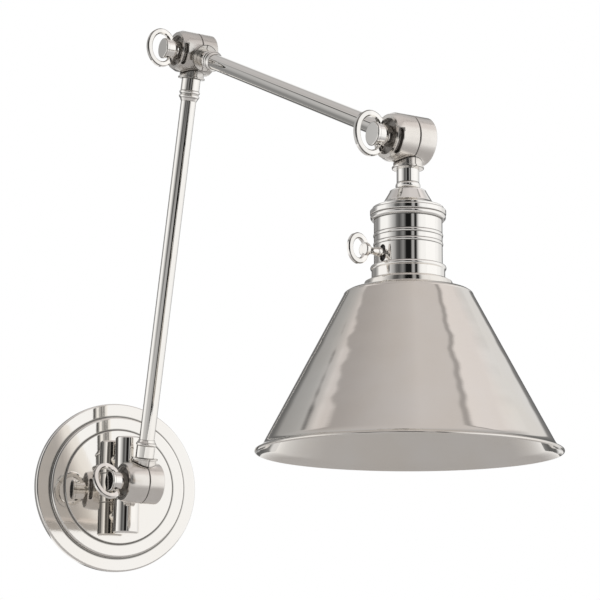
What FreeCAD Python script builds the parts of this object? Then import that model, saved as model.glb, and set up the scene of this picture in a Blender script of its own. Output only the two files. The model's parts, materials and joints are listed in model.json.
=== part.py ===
import FreeCAD, Part
import math
import os
import Sketcher
from FreeCAD import Placement, Rotation, Vector

# Swing arm wall sconce.  Millimetres, +Z up.  The wall is the plane Y = 0 and the
# lamp stands out towards -Y.  The origin is the centre of the backplate on the wall.
# Three equal knuckles (base, elbow, head) join the barrel, two arm tubes and the
# head.  Each knuckle is a stack on one level axis: half A with a recessed collar,
# half B with a spigot, a clamp washer and a ring-handled clamp knob.

os.makedirs("parts", exist_ok=True)
doc = FreeCAD.newDocument("SwingArmSconce")

DRIVING_SIZES = [
    # Pose of the joints as modelled, in degrees.
    ("swing_deg", 7.0),
    ("lower_lean_deg", 11.73),
    ("upper_drop_deg", 23.92),
    ("head_tilt_deg", 1.28),
    ("key_turn_deg", 8.0),
    # Arm lengths between knuckle axes.
    ("lower_arm_len", 357.4),
    ("upper_arm_len", 345.0),
    # Backplate, a hollow spun shell with two raised steps.
    ("plate_rim_rad", 71.2),
    ("plate_mid_rad", 59.1),
    ("plate_top_rad", 48.0),
    ("plate_rim_depth", 6.0),
    ("plate_mid_rise", 4.0),
    ("plate_top_rise", 1.3),
    ("plate_wall", 1.5),
    ("plate_edge_bevel", 1.2),
    ("plate_top_bevel", 0.7),
    # Mounting strap on the wall box.
    ("strap_half_width", 7.0),
    ("strap_thick", 2.0),
    ("strap_tab_depth", 4.2),
    ("strap_tab_thick", 2.4),
    ("strap_play", 0.05),
    ("box_screw_spacing", 83.3),
    ("box_slot_rad", 2.3),
    ("box_slot_half_len", 3.0),
    ("wire_hole_rad", 6.0),
    ("grub_rad", 1.25),
    ("grub_depth", 2.6),
    ("grub_socket_rad", 0.7),
    ("grub_socket_depth", 1.0),
    # Barrel on its two posts.
    ("barrel_rad", 10.95),
    ("barrel_half_len", 40.4),
    ("barrel_mid_half", 12.0),
    ("barrel_chamfer", 1.3),
    ("barrel_from_wall", 31.3),
    ("barrel_washer_thick", 0.8),
    ("barrel_washer_rad", 10.2),
    ("thrust_gap", 0.05),
    ("pin_rad", 3.2),
    ("pin_end_wall", 5.0),
    ("running_gap", 0.05),
    ("post_rad", 4.7),
    ("post_height", 24.0),
    ("post_screw_rad", 2.0),
    ("post_screw_bite", 6.0),
    ("post_screw_play", 0.15),
    ("post_head_rad", 3.6),
    ("post_head_depth", 2.4),
    # Knuckles.
    ("knuckle_from_barrel", 26.05),
    ("knuckle_rad", 17.0),
    ("knuckle_half_width", 13.4),
    ("seam", 0.6),
    ("seam_gap", 0.08),
    ("knuckle_edge", 0.6),
    ("collar_rad", 15.2),
    ("collar_front", 17.7),
    ("recess_rad", 12.5),
    ("recess_floor", 12.0),
    ("spigot_rad", 8.0),
    ("spigot_end", 11.7),
    ("stem_rad", 4.0),
    ("stem_end", 10.0),
    ("saddle_gap", 0.4),
    ("boss_rad", 10.0),
    ("boss_lip_rad", 11.0),
    ("boss_lip_start", 19.6),
    ("boss_end", 21.0),
    ("boss_socket_rad", 5.0),
    ("boss_socket_depth", 3.0),
    ("stub_rad", 12.0),
    ("stub_reach", 14.2),
    ("slot_half_len", 7.4),
    ("slot_half_width", 1.5),
    ("washer_rad", 12.2),
    ("washer_hole_rad", 4.4),
    ("washer_thick", 1.8),
    # Clamp knobs.
    ("neck_rad", 7.0),
    ("button_start", 22.8),
    ("button_end", 27.0),
    ("button_rad", 8.5),
    ("button_edge", 1.2),
    ("eye_centre", 30.0),
    ("eye_half_across", 16.1),
    ("eye_flattening", 2.3),
    ("eye_band", 4.4),
    ("eye_thick", 4.0),
    ("eye_edge", 0.9),
    ("base_eye_lean", -0.45),
    # Arm collars and tubes.
    ("tube_rad", 6.35),
    ("tube_wall", 1.2),
    ("tube_start", 30.0),
    ("arm_neck_rad", 7.75),
    ("arm_neck_end", 31.0),
    ("bead_width", 2.6),
    ("bead_rise", 0.75),
    ("bead_space", 0.8),
    ("collar_tail", 2.6),
    # Head: distances down from the head knuckle along the head's own axis.
    ("head_bead_width", 4.1),
    ("cap_top", 36.5),
    ("cap_top_rad", 12.6),
    ("cap_cone_rad", 17.1),
    ("cap_cone_end", 44.5),
    ("cap_bead_step", 1.4),
    ("cap_bead_start", 50.2),
    ("cap_end", 57.4),
    ("cap_bead_rise", 1.4),
    ("cap_wall", 1.6),
    ("cap_lip", 0.9),
    ("shell_rad", 23.4),
    ("shell_wall", 1.1),
    ("shell_end", 89.2),
    ("shell_line_a", 67.0),
    ("shell_line_b", 73.1),
    ("shell_line_width", 2.4),
    ("shell_line_rise", 0.45),
    ("rim_bead_end", 92.4),
    ("rim_bead_rise", 0.9),
    ("rim_root_step", 1.6),
    ("shade_top", 99.0),
    ("body_play", 0.1),
    ("socket_end", 108.0),
    ("socket_floor", 86.0),
    ("socket_neck_rad", 21.4),
    ("screw_shell_rad", 14.1),
    ("screw_shell_wall", 0.7),
    ("screw_shell_end", 107.2),
    ("contact_rad", 6.0),
    ("contact_thick", 0.8),
    ("contact_button_rad", 2.5),
    ("screw_shell_lift", 2.2),
    # Shade.
    ("shade_wall", 0.9),
    ("shade_neck_rad", 27.0),
    ("shade_collar_rad", 30.0),
    ("shade_collar_start", 100.8),
    ("shade_collar_end", 104.4),
    ("shade_shoulder_rad", 42.2),
    ("shade_shoulder_end", 107.4),
    ("shade_cone_rad", 44.2),
    ("shade_cone_start", 109.8),
    ("shade_flare_rad", 97.5),
    ("shade_flare_start", 210.6),
    ("shade_lip_rad", 102.3),
    ("shade_lip_start", 215.0),
    ("shade_lip_roll", 2.2),
    ("ring_nut_rad", 25.4),
    ("ring_nut_thick", 3.6),
    # Turn key.
    ("key_level", 83.0),
    ("key_slot_half_len", 5.9),
    ("key_slot_rad", 2.7),
    ("key_stem_rad", 2.5),
    ("key_stem_start", 8.0),
    ("key_ball_gap", 0.6),
    ("key_ball_len", 4.6),
    ("key_ball_rad", 3.4),
    ("key_neck_rad", 2.1),
    ("key_neck_len", 1.0),
    ("key_button_rad", 4.3),
    ("key_button_start", 37.5),
    ("key_button_end", 40.7),
    ("key_eye_centre", 45.2),
    ("key_eye_half_across", 10.6),
    ("key_eye_half_along", 9.0),
    ("key_eye_band", 4.0),
    ("key_eye_thick", 3.2),
    ("key_eye_edge", 0.7),
]

sheet = doc.addObject("Spreadsheet::Sheet", "Sizes")
for row, (alias, number) in enumerate(DRIVING_SIZES, start=1):
    sheet.set("A%d" % row, alias)
    sheet.set("B%d" % row, str(number))
    sheet.setAlias("B%d" % row, alias)
doc.recompute()


class Size:
    """A length: its value, and the sheet expression that keeps it up to date."""

    def __init__(self, value, text):
        self.value = float(value)
        self.text = text

    def __add__(self, other):
        other = size_of(other)
        return Size(self.value + other.value, "(%s + %s)" % (self.text, other.text))

    def __sub__(self, other):
        other = size_of(other)
        return Size(self.value - other.value, "(%s - %s)" % (self.text, other.text))

    def __mul__(self, other):
        other = size_of(other)
        return Size(self.value * other.value, "(%s * %s)" % (self.text, other.text))

    def __truediv__(self, other):
        other = size_of(other)
        return Size(self.value / other.value, "(%s / %s)" % (self.text, other.text))

    def __neg__(self):
        return Size(-self.value, "(-1 * %s)" % self.text)

    def root(self):
        return Size(math.sqrt(self.value), "sqrt(%s)" % self.text)


def size_of(length):
    return length if isinstance(length, Size) else Size(length, repr(length))


class Sheet:
    """The driving sizes by name."""

    def __getattr__(self, alias):
        return Size(getattr(sheet, alias), "Sizes." + alias)


dim = Sheet()
ZERO = Size(0, "0")
made = {}


# ---------------------------------------------------------------- sketch helpers

def sketch_on(body, name, role, offset=None, turn_deg=0):
    """A sketch on one of the body's own origin planes, moved along its normal."""
    sketch = body.newObject("Sketcher::SketchObject", name)
    plane = [item for item in body.Origin.OriginFeatures if item.Role == role][0]
    sketch.AttachmentSupport = [(plane, "")]
    sketch.MapMode = "FlatFace"
    turn = Rotation(Vector(0, 1, 0), turn_deg)
    sketch.AttachmentOffset = Placement(Vector(0, 0, offset.value if offset else 0), turn)
    if offset:
        sketch.setExpression(".AttachmentOffset.Base.z", offset.text)
    return sketch


def bind(sketch, kind, *args):
    """Add one dimension whose last argument is a Size and tie it to the sheet."""
    length = args[-1]
    index = sketch.addConstraint(Sketcher.Constraint(kind, *args[:-1], length.value))
    sketch.setExpression("Constraints[%d]" % index, length.text)


def hold_point(sketch, geometry, end, across, up):
    """Fix a point of the sketch at (across, up) from the origin."""
    for kind, length, axis in (("DistanceX", across, -2), ("DistanceY", up, -1)):
        if length.text == "0":
            sketch.addConstraint(Sketcher.Constraint("PointOnObject", geometry, end, axis))
        else:
            bind(sketch, kind, -1, 1, geometry, end, length)


def circle(sketch, across, up, radius):
    across, up = size_of(across), size_of(up)
    centre = Vector(across.value, up.value, 0)
    index = sketch.addGeometry(Part.Circle(centre, Vector(0, 0, 1), radius.value))
    hold_point(sketch, index, 3, across, up)
    bind(sketch, "Radius", index, radius)


def arc_between(start, end, radius):
    """The short arc from start to end; a positive radius turns left on the way."""
    chord = end - start
    middle = (start + end) * 0.5
    rise = math.sqrt(radius * radius - chord.Length * chord.Length / 4)
    left = Vector(-chord.y, chord.x, 0).normalize()
    centre = middle + left * math.copysign(rise, radius)
    first, last = (start, end) if radius > 0 else (end, start)
    from_angle = math.atan2(first.y - centre.y, first.x - centre.x)
    to_angle = math.atan2(last.y - centre.y, last.x - centre.x)
    full = Part.Circle(centre, Vector(0, 0, 1), abs(radius))
    return Part.ArcOfCircle(full, from_angle, to_angle)


def outline(sketch, corners):
    """A closed outline.  Each corner is (across, up) or (across, up, rise): with a
    rise, the side that leads to the corner is an arc standing out by that much on
    its right hand, or hollow by that much where the rise is negative."""
    count = len(corners)
    points = [tuple(size_of(value) for value in corner) for corner in corners]
    starts = []
    ends = []
    radii = []
    for index in range(count):
        here, there = points[index], points[(index + 1) % count]
        start = Vector(here[0].value, here[1].value, 0)
        end = Vector(there[0].value, there[1].value, 0)
        if len(there) == 2:
            geometry = sketch.addGeometry(Part.LineSegment(start, end))
            starts.append((geometry, 1))
            ends.append((geometry, 2))
            continue
        across, up, rise = there[0] - here[0], there[1] - here[1], there[2]
        half_chord_sq = (across * across + up * up) / 4
        radius = (half_chord_sq + rise * rise) / (rise * 2)
        geometry = sketch.addGeometry(arc_between(start, end, radius.value))
        radii.append((geometry, radius))
        left_turn = radius.value > 0
        starts.append((geometry, 1 if left_turn else 2))
        ends.append((geometry, 2 if left_turn else 1))
    for index in range(count):
        joint = ends[index - 1] + starts[index]
        sketch.addConstraint(Sketcher.Constraint("Coincident", *joint))
        hold_point(sketch, *starts[index], points[index][0], points[index][1])
    for geometry, radius in radii:
        bind(sketch, "Radius", geometry, radius if radius.value > 0 else -radius)


def box_outline(sketch, left, low, right, high):
    outline(sketch, [(left, low), (right, low), (right, high), (left, high)])


def ridge(root_rad, start, end, rise):
    """The three sides of a bead turned on a shaft, with its corners eased."""
    ease = (end - start) * 0.28
    return [
        (root_rad + rise * 0.55, start),
        (root_rad + rise, start + ease),
        (root_rad + rise, end - ease),
        (root_rad + rise * 0.55, end),
        (root_rad, end),
    ]


def slot_outline(sketch, across, up, half_len, radius, upright=False):
    """A round-ended slot about (across, up)."""
    across, up = size_of(across), size_of(up)
    cap = radius * 0.999
    if upright:
        outline(sketch, [
            (across + radius, up - half_len, cap),
            (across + radius, up + half_len),
            (across - radius, up + half_len, cap),
            (across - radius, up - half_len),
        ])
    else:
        outline(sketch, [
            (across - half_len, up + radius),
            (across - half_len, up - radius, cap),
            (across + half_len, up - radius),
            (across + half_len, up + radius, cap),
        ])


# ------------------------------------------------------------- part design helpers

def new_body(name):
    body = doc.addObject("PartDesign::Body", name)
    made[name] = body
    return body


def turn_feature(body, kind, name, corners):
    """Revolve an outline of (radius, height) corners about the body's own Z axis."""
    sketch = sketch_on(body, name + "_outline", "XZ_Plane")
    outline(sketch, corners)
    feature = body.newObject("PartDesign::" + kind, name)
    feature.Profile = sketch
    feature.ReferenceAxis = (sketch, ["V_Axis"])
    feature.Angle = 360
    return feature


def turned(name, corners):
    """A body turned on its own Z axis."""
    body = new_body(name)
    turn_feature(body, "Revolution", name + "_turned", corners)
    return body


def push(body, kind, name, sketch, length, both_ways=False, other_way=False):
    """Pad or pocket a sketch by a length from the sheet."""
    feature = body.newObject("PartDesign::" + kind, name)
    feature.Profile = sketch
    feature.Length = length.value
    feature.setExpression("Length", length.text)
    feature.Midplane = both_ways
    feature.Reversed = other_way
    return feature


def ring_edges(body, places):
    """Names of the circular edges about local Z at the given (radius, height)."""
    doc.recompute()
    names = []
    for radius, height in places:
        for index, edge in enumerate(body.Shape.Edges, start=1):
            curve = edge.Curve
            if not isinstance(curve, Part.Circle):
                continue
            centre = body.Placement.inverse().multVec(curve.Center)
            on_axis = math.hypot(centre.x, centre.y) < 0.01
            if (on_axis and abs(curve.Radius - radius.value) < 0.02
                    and abs(centre.z - height.value) < 0.02):
                names.append("Edge%d" % index)
    return names


def dress(body, kind, name, size, edges):
    """A fillet or chamfer of one size on the named edges of the body's tip."""
    base = body.Tip
    feature = body.newObject("PartDesign::" + kind, name)
    feature.Base = (base, edges)
    prop = "Radius" if kind == "Fillet" else "Size"
    setattr(feature, prop, size.value)
    feature.setExpression(prop, size.text)
    return feature


def place(body, origin, along, across):
    """Put a body at origin with its Z axis along one direction and X across."""
    body.Placement = Placement(origin, Rotation(across, along.cross(across), along, "ZXY"))


# ------------------------------------------------------------------ frame of places

def unit_from_deg(angle):
    radians = math.radians(angle.value)
    return math.sin(radians), math.cos(radians)


UP = Vector(0, 0, 1)
OUT = Vector(0, -1, 0)
RIGHT = Vector(1, 0, 0)

swing_sin, swing_cos = unit_from_deg(dim.swing_deg)
arm_way = Vector(swing_sin, -swing_cos, 0)
knob_way = Vector(-swing_cos, -swing_sin, 0)

lean_sin, lean_cos = unit_from_deg(dim.lower_lean_deg)
lower_way = arm_way * lean_sin + UP * lean_cos
drop_sin, drop_cos = unit_from_deg(dim.upper_drop_deg)
upper_way = arm_way * drop_cos - UP * drop_sin
tilt_sin, tilt_cos = unit_from_deg(dim.head_tilt_deg)
head_way = arm_way * tilt_sin - UP * tilt_cos
key_sin, key_cos = unit_from_deg(dim.key_turn_deg)
key_way = knob_way * key_cos + knob_way.cross(head_way) * key_sin

barrel_at = OUT * dim.barrel_from_wall.value
base_at = barrel_at + arm_way * dim.knuckle_from_barrel.value
elbow_at = base_at + lower_way * dim.lower_arm_len.value
head_at = elbow_at + upper_way * dim.upper_arm_len.value

# ------------------------------------------------------------------------ backplate

plate_mid_front = dim.plate_rim_depth + dim.plate_mid_rise
plate_front = plate_mid_front + dim.plate_top_rise
plate_rim_inner = dim.plate_rim_rad - dim.plate_wall

plate = turned("backplate", [
    (ZERO, plate_front),
    (ZERO, plate_front - dim.plate_wall),
    (dim.plate_top_rad - dim.plate_wall, plate_front - dim.plate_wall),
    (dim.plate_top_rad - dim.plate_wall, plate_mid_front - dim.plate_wall),
    (dim.plate_mid_rad - dim.plate_wall, plate_mid_front - dim.plate_wall),
    (dim.plate_mid_rad - dim.plate_wall, dim.plate_rim_depth - dim.plate_wall),
    (plate_rim_inner, dim.plate_rim_depth - dim.plate_wall),
    (plate_rim_inner, ZERO),
    (dim.plate_rim_rad, ZERO),
    (dim.plate_rim_rad, dim.plate_rim_depth),
    (dim.plate_mid_rad, dim.plate_rim_depth),
    (dim.plate_mid_rad, plate_mid_front),
    (dim.plate_top_rad, plate_mid_front),
    (dim.plate_top_rad, plate_front),
])
step_edges = ring_edges(plate, [
    (dim.plate_rim_rad, dim.plate_rim_depth), (dim.plate_mid_rad, plate_mid_front)])
dress(plate, "Chamfer", "plate_step_bevels", dim.plate_edge_bevel, step_edges)
top_edges = ring_edges(plate, [(dim.plate_top_rad, plate_front)])
dress(plate, "Chamfer", "plate_top_bevel", dim.plate_top_bevel, top_edges)

screw_hole_rad = dim.post_screw_rad + dim.post_screw_play
holes = sketch_on(plate, "post_screw_holes", "XY_Plane", plate_front)
circle(holes, ZERO, dim.post_height, screw_hole_rad)
circle(holes, ZERO, -dim.post_height, screw_hole_rad)
push(plate, "Pocket", "post_screw_pocket", holes, dim.plate_wall * 2)

grub_hole = sketch_on(plate, "grub_hole", "XZ_Plane", -plate_rim_inner + dim.strap_tab_thick)
circle(grub_hole, ZERO, dim.grub_depth, dim.grub_rad)
push(plate, "Pocket", "grub_hole_pocket", grub_hole, dim.strap_tab_thick * 3)
place(plate, Vector(0, 0, 0), OUT, RIGHT)

# ------------------------------------------------------------------- mounting strap

strap_rad = plate_rim_inner - dim.strap_play
strap_reach = (strap_rad * strap_rad - dim.strap_half_width * dim.strap_half_width).root()
strap_bow = strap_rad - strap_reach
strap_inner = strap_reach - dim.strap_tab_thick

strap = new_body("mounting_strap")
strap_shape = sketch_on(strap, "strap_shape", "XY_Plane")
outline(strap_shape, [
    (-dim.strap_half_width, -strap_reach),
    (dim.strap_half_width, -strap_reach, strap_bow),
    (dim.strap_half_width, strap_reach),
    (-dim.strap_half_width, strap_reach, strap_bow),
])
push(strap, "Pad", "strap_block", strap_shape, dim.strap_tab_depth)
strap_hollow = sketch_on(strap, "strap_hollow", "XY_Plane", dim.strap_tab_depth)
box_outline(strap_hollow, -dim.strap_half_width * 2, -strap_inner,
            dim.strap_half_width * 2, strap_inner)
push(strap, "Pocket", "strap_bend", strap_hollow, dim.strap_tab_depth - dim.strap_thick)
strap_slots = sketch_on(strap, "strap_slots", "XY_Plane", dim.strap_thick)
half_spacing = dim.box_screw_spacing / 2
slot_outline(strap_slots, ZERO, half_spacing, dim.box_slot_half_len, dim.box_slot_rad, True)
slot_outline(strap_slots, ZERO, -half_spacing, dim.box_slot_half_len, dim.box_slot_rad, True)
circle(strap_slots, ZERO, ZERO, dim.wire_hole_rad)
push(strap, "Pocket", "strap_slot_pocket", strap_slots, dim.strap_thick)
strap_grub = sketch_on(strap, "strap_grub", "XZ_Plane", -strap_inner)
circle(strap_grub, ZERO, dim.grub_depth, dim.grub_rad)
push(strap, "Pocket", "strap_grub_pocket", strap_grub, dim.strap_tab_thick * 2)
place(strap, Vector(0, 0, 0), OUT, RIGHT)

grub_len = dim.plate_rim_rad - strap_inner
grub = turned("rim_grub_screw", [
    (ZERO, ZERO),
    (dim.grub_rad, ZERO),
    (dim.grub_rad, grub_len),
    (dim.grub_socket_rad, grub_len),
    (dim.grub_socket_rad, grub_len - dim.grub_socket_depth),
    (ZERO, grub_len - dim.grub_socket_depth),
])
place(grub, UP * strap_inner.value + OUT * dim.grub_depth.value, UP, RIGHT)

# ----------------------------------------------------------------- posts and barrel

post_len = dim.barrel_from_wall - plate_front


def post(name, side):
    """A tubular post from the plate, saddled to the barrel."""
    body = turned(name, [
        (screw_hole_rad, ZERO),
        (dim.post_rad, ZERO),
        (dim.post_rad, post_len),
        (screw_hole_rad, post_len),
    ])
    saddle = sketch_on(body, name + "_saddle", "XZ_Plane")
    circle(saddle, ZERO, post_len, dim.barrel_rad)
    push(body, "Pocket", name + "_saddle_cut", saddle, dim.post_rad * 4, both_ways=True)
    place(body, OUT * plate_front.value + UP * (side * dim.post_height.value), OUT, RIGHT)


def barrel_end(name, side):
    """A fixed end of the barrel, bored blind for the swing pin."""
    start = dim.barrel_mid_half + dim.barrel_washer_thick + dim.thrust_gap
    body = turned(name, [
        (dim.pin_rad, start),
        (dim.barrel_rad, start),
        (dim.barrel_rad, dim.barrel_half_len),
        (ZERO, dim.barrel_half_len),
        (ZERO, dim.barrel_half_len - dim.pin_end_wall),
        (dim.pin_rad, dim.barrel_half_len - dim.pin_end_wall),
    ])
    edge = ring_edges(body, [(dim.barrel_rad, dim.barrel_half_len)])
    dress(body, "Chamfer", name + "_chamfer", dim.barrel_chamfer, edge)
    tapped = sketch_on(body, name + "_tapping", "XZ_Plane", -dim.pin_rad)
    circle(tapped, ZERO, dim.post_height, dim.post_screw_rad)
    push(body, "Pocket", name + "_tapped_hole", tapped, dim.barrel_rad)
    place(body, barrel_at, UP * side, RIGHT * side)


for level, side in (("upper", 1), ("lower", -1)):
    post("post_" + level, side)
    barrel_end("barrel_" + level, side)

pin_half = dim.barrel_half_len - dim.pin_end_wall
pin = turned("barrel_pin", [
    (ZERO, -pin_half), (dim.pin_rad, -pin_half), (dim.pin_rad, pin_half), (ZERO, pin_half)])
place(pin, barrel_at, UP, RIGHT)


def together(name, bodies):
    """Equal fasteners in one node."""
    group = doc.addObject("Part::Compound", name)
    group.Links = bodies
    for body in bodies:
        made.pop(body.Name)
    made[name] = group


screws = []
washers = []
screw_head_at = plate_front - dim.plate_wall
screw_tip = dim.barrel_from_wall - dim.barrel_rad + dim.post_screw_bite
for number, side in ((1, 1), (2, -1)):
    screw = turned("post_screw_%d" % number, [
        (ZERO, screw_head_at - dim.post_head_depth),
        (dim.post_head_rad, screw_head_at - dim.post_head_depth),
        (dim.post_head_rad, screw_head_at),
        (dim.post_screw_rad, screw_head_at),
        (dim.post_screw_rad, screw_tip),
        (ZERO, screw_tip),
    ])
    place(screw, UP * (side * dim.post_height.value), OUT, RIGHT)
    screws.append(screw)
    washer_start = dim.barrel_mid_half + dim.thrust_gap
    washer = turned("barrel_washer_%d" % number, [
        (dim.pin_rad, washer_start),
        (dim.barrel_washer_rad, washer_start),
        (dim.barrel_washer_rad, washer_start + dim.barrel_washer_thick),
        (dim.pin_rad, washer_start + dim.barrel_washer_thick),
    ])
    place(washer, barrel_at, UP * side, RIGHT * side)
    washers.append(washer)
together("post_screws", screws)
together("barrel_washers", washers)

# The swinging middle of the barrel carries a short stub, scooped to seat half A of
# the base knuckle and to clear its half B.  Local Y points away from the knobs.
middle = turned("barrel_middle", [
    (ZERO, -dim.barrel_mid_half), (dim.barrel_rad, -dim.barrel_mid_half),
    (dim.barrel_rad, dim.barrel_mid_half), (ZERO, dim.barrel_mid_half)])
stub = sketch_on(middle, "stub_shape", "YZ_Plane")
circle(stub, ZERO, ZERO, dim.stub_rad)
push(middle, "Pad", "stub", stub, dim.stub_reach)
scoop_a = sketch_on(middle, "scoop_a_shape", "XZ_Plane", dim.knuckle_rad)
circle(scoop_a, dim.knuckle_from_barrel, ZERO, dim.knuckle_rad)
push(middle, "Pocket", "scoop_a", scoop_a, dim.knuckle_rad * 2)
scoop_b = sketch_on(middle, "scoop_b_shape", "XZ_Plane", dim.seam)
circle(scoop_b, dim.knuckle_from_barrel, ZERO, dim.knuckle_rad + dim.saddle_gap)
push(middle, "Pocket", "scoop_b", scoop_b, dim.knuckle_rad * 2)
bore = sketch_on(middle, "pin_bore_shape", "XY_Plane")
circle(bore, ZERO, ZERO, dim.pin_rad + dim.running_gap)
push(middle, "Pocket", "pin_bore", bore, dim.barrel_mid_half * 4, both_ways=True)
place(middle, barrel_at, UP, arm_way)

# ------------------------------------------------------------------------- knuckles
# Local frame of every knuckle piece: Z along the knuckle axis towards the knob and
# X along the piece's own boss.


def boss(body, name, hollow):
    """The saddle boss with its lip, hollowed for the stack of the knuckle."""
    shank = sketch_on(body, name + "_boss_shape", "YZ_Plane")
    circle(shank, ZERO, ZERO, dim.boss_rad)
    push(body, "Pad", name + "_boss", shank, dim.boss_lip_start)
    lip = sketch_on(body, name + "_lip_shape", "YZ_Plane", dim.boss_lip_start)
    circle(lip, ZERO, ZERO, dim.boss_lip_rad)
    push(body, "Pad", name + "_lip", lip, dim.boss_end - dim.boss_lip_start)
    socket = sketch_on(body, name + "_socket_shape", "YZ_Plane", dim.boss_end)
    circle(socket, ZERO, ZERO, dim.boss_socket_rad)
    push(body, "Pocket", name + "_socket", socket, dim.boss_socket_depth)
    turn_feature(body, "Groove", name + "_hollow", hollow)


bevelled_rad = dim.knuckle_rad - dim.knuckle_edge
knuckle_room = dim.knuckle_rad + dim.saddle_gap
boss_root = dim.knuckle_rad - dim.knuckle_edge * 2
room_end = dim.boss_lip_rad + dim.saddle_gap


def half_a(name, with_boss, slot_deg):
    """Half A: the half on the knob side, coned to its recessed and slotted collar."""
    body = new_body(name)
    if with_boss:
        boss(body, name, [
            (ZERO, -room_end), (knuckle_room, -room_end), (knuckle_room, dim.seam),
            (boss_root, dim.seam), (boss_root, room_end), (ZERO, room_end)])
    spigot_bore = dim.spigot_rad + dim.running_gap
    turn_feature(body, "Revolution", name + "_ring", [
        (spigot_bore, dim.seam),
        (bevelled_rad, dim.seam),
        (dim.knuckle_rad, dim.seam + dim.knuckle_edge),
        (dim.knuckle_rad, dim.knuckle_half_width),
        (dim.collar_rad, dim.collar_front),
        (dim.recess_rad, dim.collar_front),
        (dim.recess_rad, dim.recess_floor),
        (spigot_bore, dim.recess_floor),
    ])
    slot = sketch_on(body, name + "_slot_shape", "XZ_Plane", turn_deg=slot_deg)
    slot_up = (dim.knuckle_half_width + dim.collar_front) / 2
    slot_outline(slot, ZERO, slot_up, dim.slot_half_len, dim.slot_half_width)
    push(body, "Pocket", name + "_slot", slot, dim.knuckle_rad, other_way=True)
    return body


def half_b(name):
    """Half B: the plain half with the spigot that runs in half A."""
    face = dim.seam - dim.seam_gap
    body = new_body(name)
    boss(body, name, [
        (ZERO, -room_end), (boss_root, -room_end), (boss_root, face),
        (knuckle_room, face), (knuckle_room, room_end), (ZERO, room_end)])
    stem_bore = dim.stem_rad + dim.running_gap
    turn_feature(body, "Revolution", name + "_ring", [
        (stem_bore, -dim.knuckle_half_width + dim.knuckle_edge * 2),
        (ZERO, -dim.knuckle_half_width + dim.knuckle_edge * 2),
        (ZERO, -dim.knuckle_half_width),
        (bevelled_rad, -dim.knuckle_half_width),
        (dim.knuckle_rad, -dim.knuckle_half_width + dim.knuckle_edge),
        (dim.knuckle_rad, face - dim.knuckle_edge),
        (bevelled_rad, face),
        (dim.spigot_rad, face),
        (dim.spigot_rad, dim.spigot_end),
        (stem_bore, dim.spigot_end),
    ])
    return body


def clamp_washer(name, centre):
    """The washer in the recess of half A, under the knob's neck."""
    body = turned(name, [
        (dim.washer_hole_rad, dim.recess_floor),
        (dim.washer_rad, dim.recess_floor),
        (dim.washer_rad, dim.recess_floor + dim.washer_thick),
        (dim.washer_hole_rad, dim.recess_floor + dim.washer_thick),
    ])
    place(body, centre, knob_way, UP)


def ellipse(sketch, up, half_across, half_along):
    """An ellipse centred on the sketch's upright axis, wider across than along."""
    centre = Vector(0, up.value, 0)
    side = centre + Vector(half_across.value, 0, 0)
    top = centre + Vector(0, half_along.value, 0)
    index = sketch.addGeometry(Part.Ellipse(side, top, centre))
    sketch.exposeInternalGeometry(index)
    hold_point(sketch, index, 3, ZERO, up)
    sketch.addConstraint(Sketcher.Constraint("Horizontal", index + 1))
    bind(sketch, "Distance", index + 1, half_across * 2)
    bind(sketch, "Distance", index + 2, half_along * 2)


def ease_all(body, name, size):
    """Bevel every edge that the body has so far."""
    doc.recompute()
    edges = ["Edge%d" % index for index in range(1, len(body.Shape.Edges) + 1)]
    dress(body, "Chamfer", name, size, edges)


def clamp_knob(name, centre, eye_across):
    """A clamp knob: threaded stem, neck, button and an oval eye to turn it by."""
    body = new_body(name)
    eye = sketch_on(body, name + "_eye_shape", "XZ_Plane")
    half_along = dim.eye_half_across - dim.eye_flattening
    ellipse(eye, dim.eye_centre, dim.eye_half_across, half_along)
    ellipse(eye, dim.eye_centre, dim.eye_half_across - dim.eye_band, half_along - dim.eye_band)
    push(body, "Pad", name + "_eye", eye, dim.eye_thick, both_ways=True)
    ease_all(body, name + "_eye_bevel", dim.eye_edge)
    seat = dim.recess_floor + dim.washer_thick + dim.thrust_gap
    turn_feature(body, "Revolution", name + "_stem", [
        (ZERO, -dim.stem_end),
        (dim.stem_rad, -dim.stem_end),
        (dim.stem_rad, seat),
        (dim.neck_rad, seat),
        (dim.neck_rad, dim.button_start),
        (dim.button_rad, dim.button_start),
        (dim.button_rad, dim.button_end),
        (ZERO, dim.button_end),
    ])
    edges = ring_edges(body, [(dim.button_rad, dim.button_end)])
    dress(body, "Chamfer", name + "_button_bevel", dim.button_edge, edges)
    place(body, centre, knob_way, eye_across)


# Base knuckle.
place(half_a("base_half_a", False, 90), base_at, knob_way, -arm_way)
place(half_b("base_half_b"), base_at, knob_way, lower_way)
clamp_washer("base_washer", base_at)
base_eye_way = UP + arm_way * dim.base_eye_lean.value
clamp_knob("base_knob", base_at, base_eye_way.normalize())

# Elbow knuckle.
place(half_a("elbow_half_a", True, 90), elbow_at, knob_way, upper_way)
place(half_b("elbow_half_b"), elbow_at, knob_way, -lower_way)
clamp_washer("elbow_washer", elbow_at)
clamp_knob("elbow_knob", elbow_at, UP)

# Head knuckle.
place(half_a("head_half_a", True, 270), head_at, knob_way, -upper_way)
place(half_b("head_half_b"), head_at, knob_way, head_way)
clamp_washer("head_washer", head_at)
clamp_knob("head_knob", head_at, UP)

# -------------------------------------------------------------------- arm and collars

spigot_start = dim.boss_end - dim.boss_socket_depth
tube_inner = dim.tube_rad - dim.tube_wall


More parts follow.
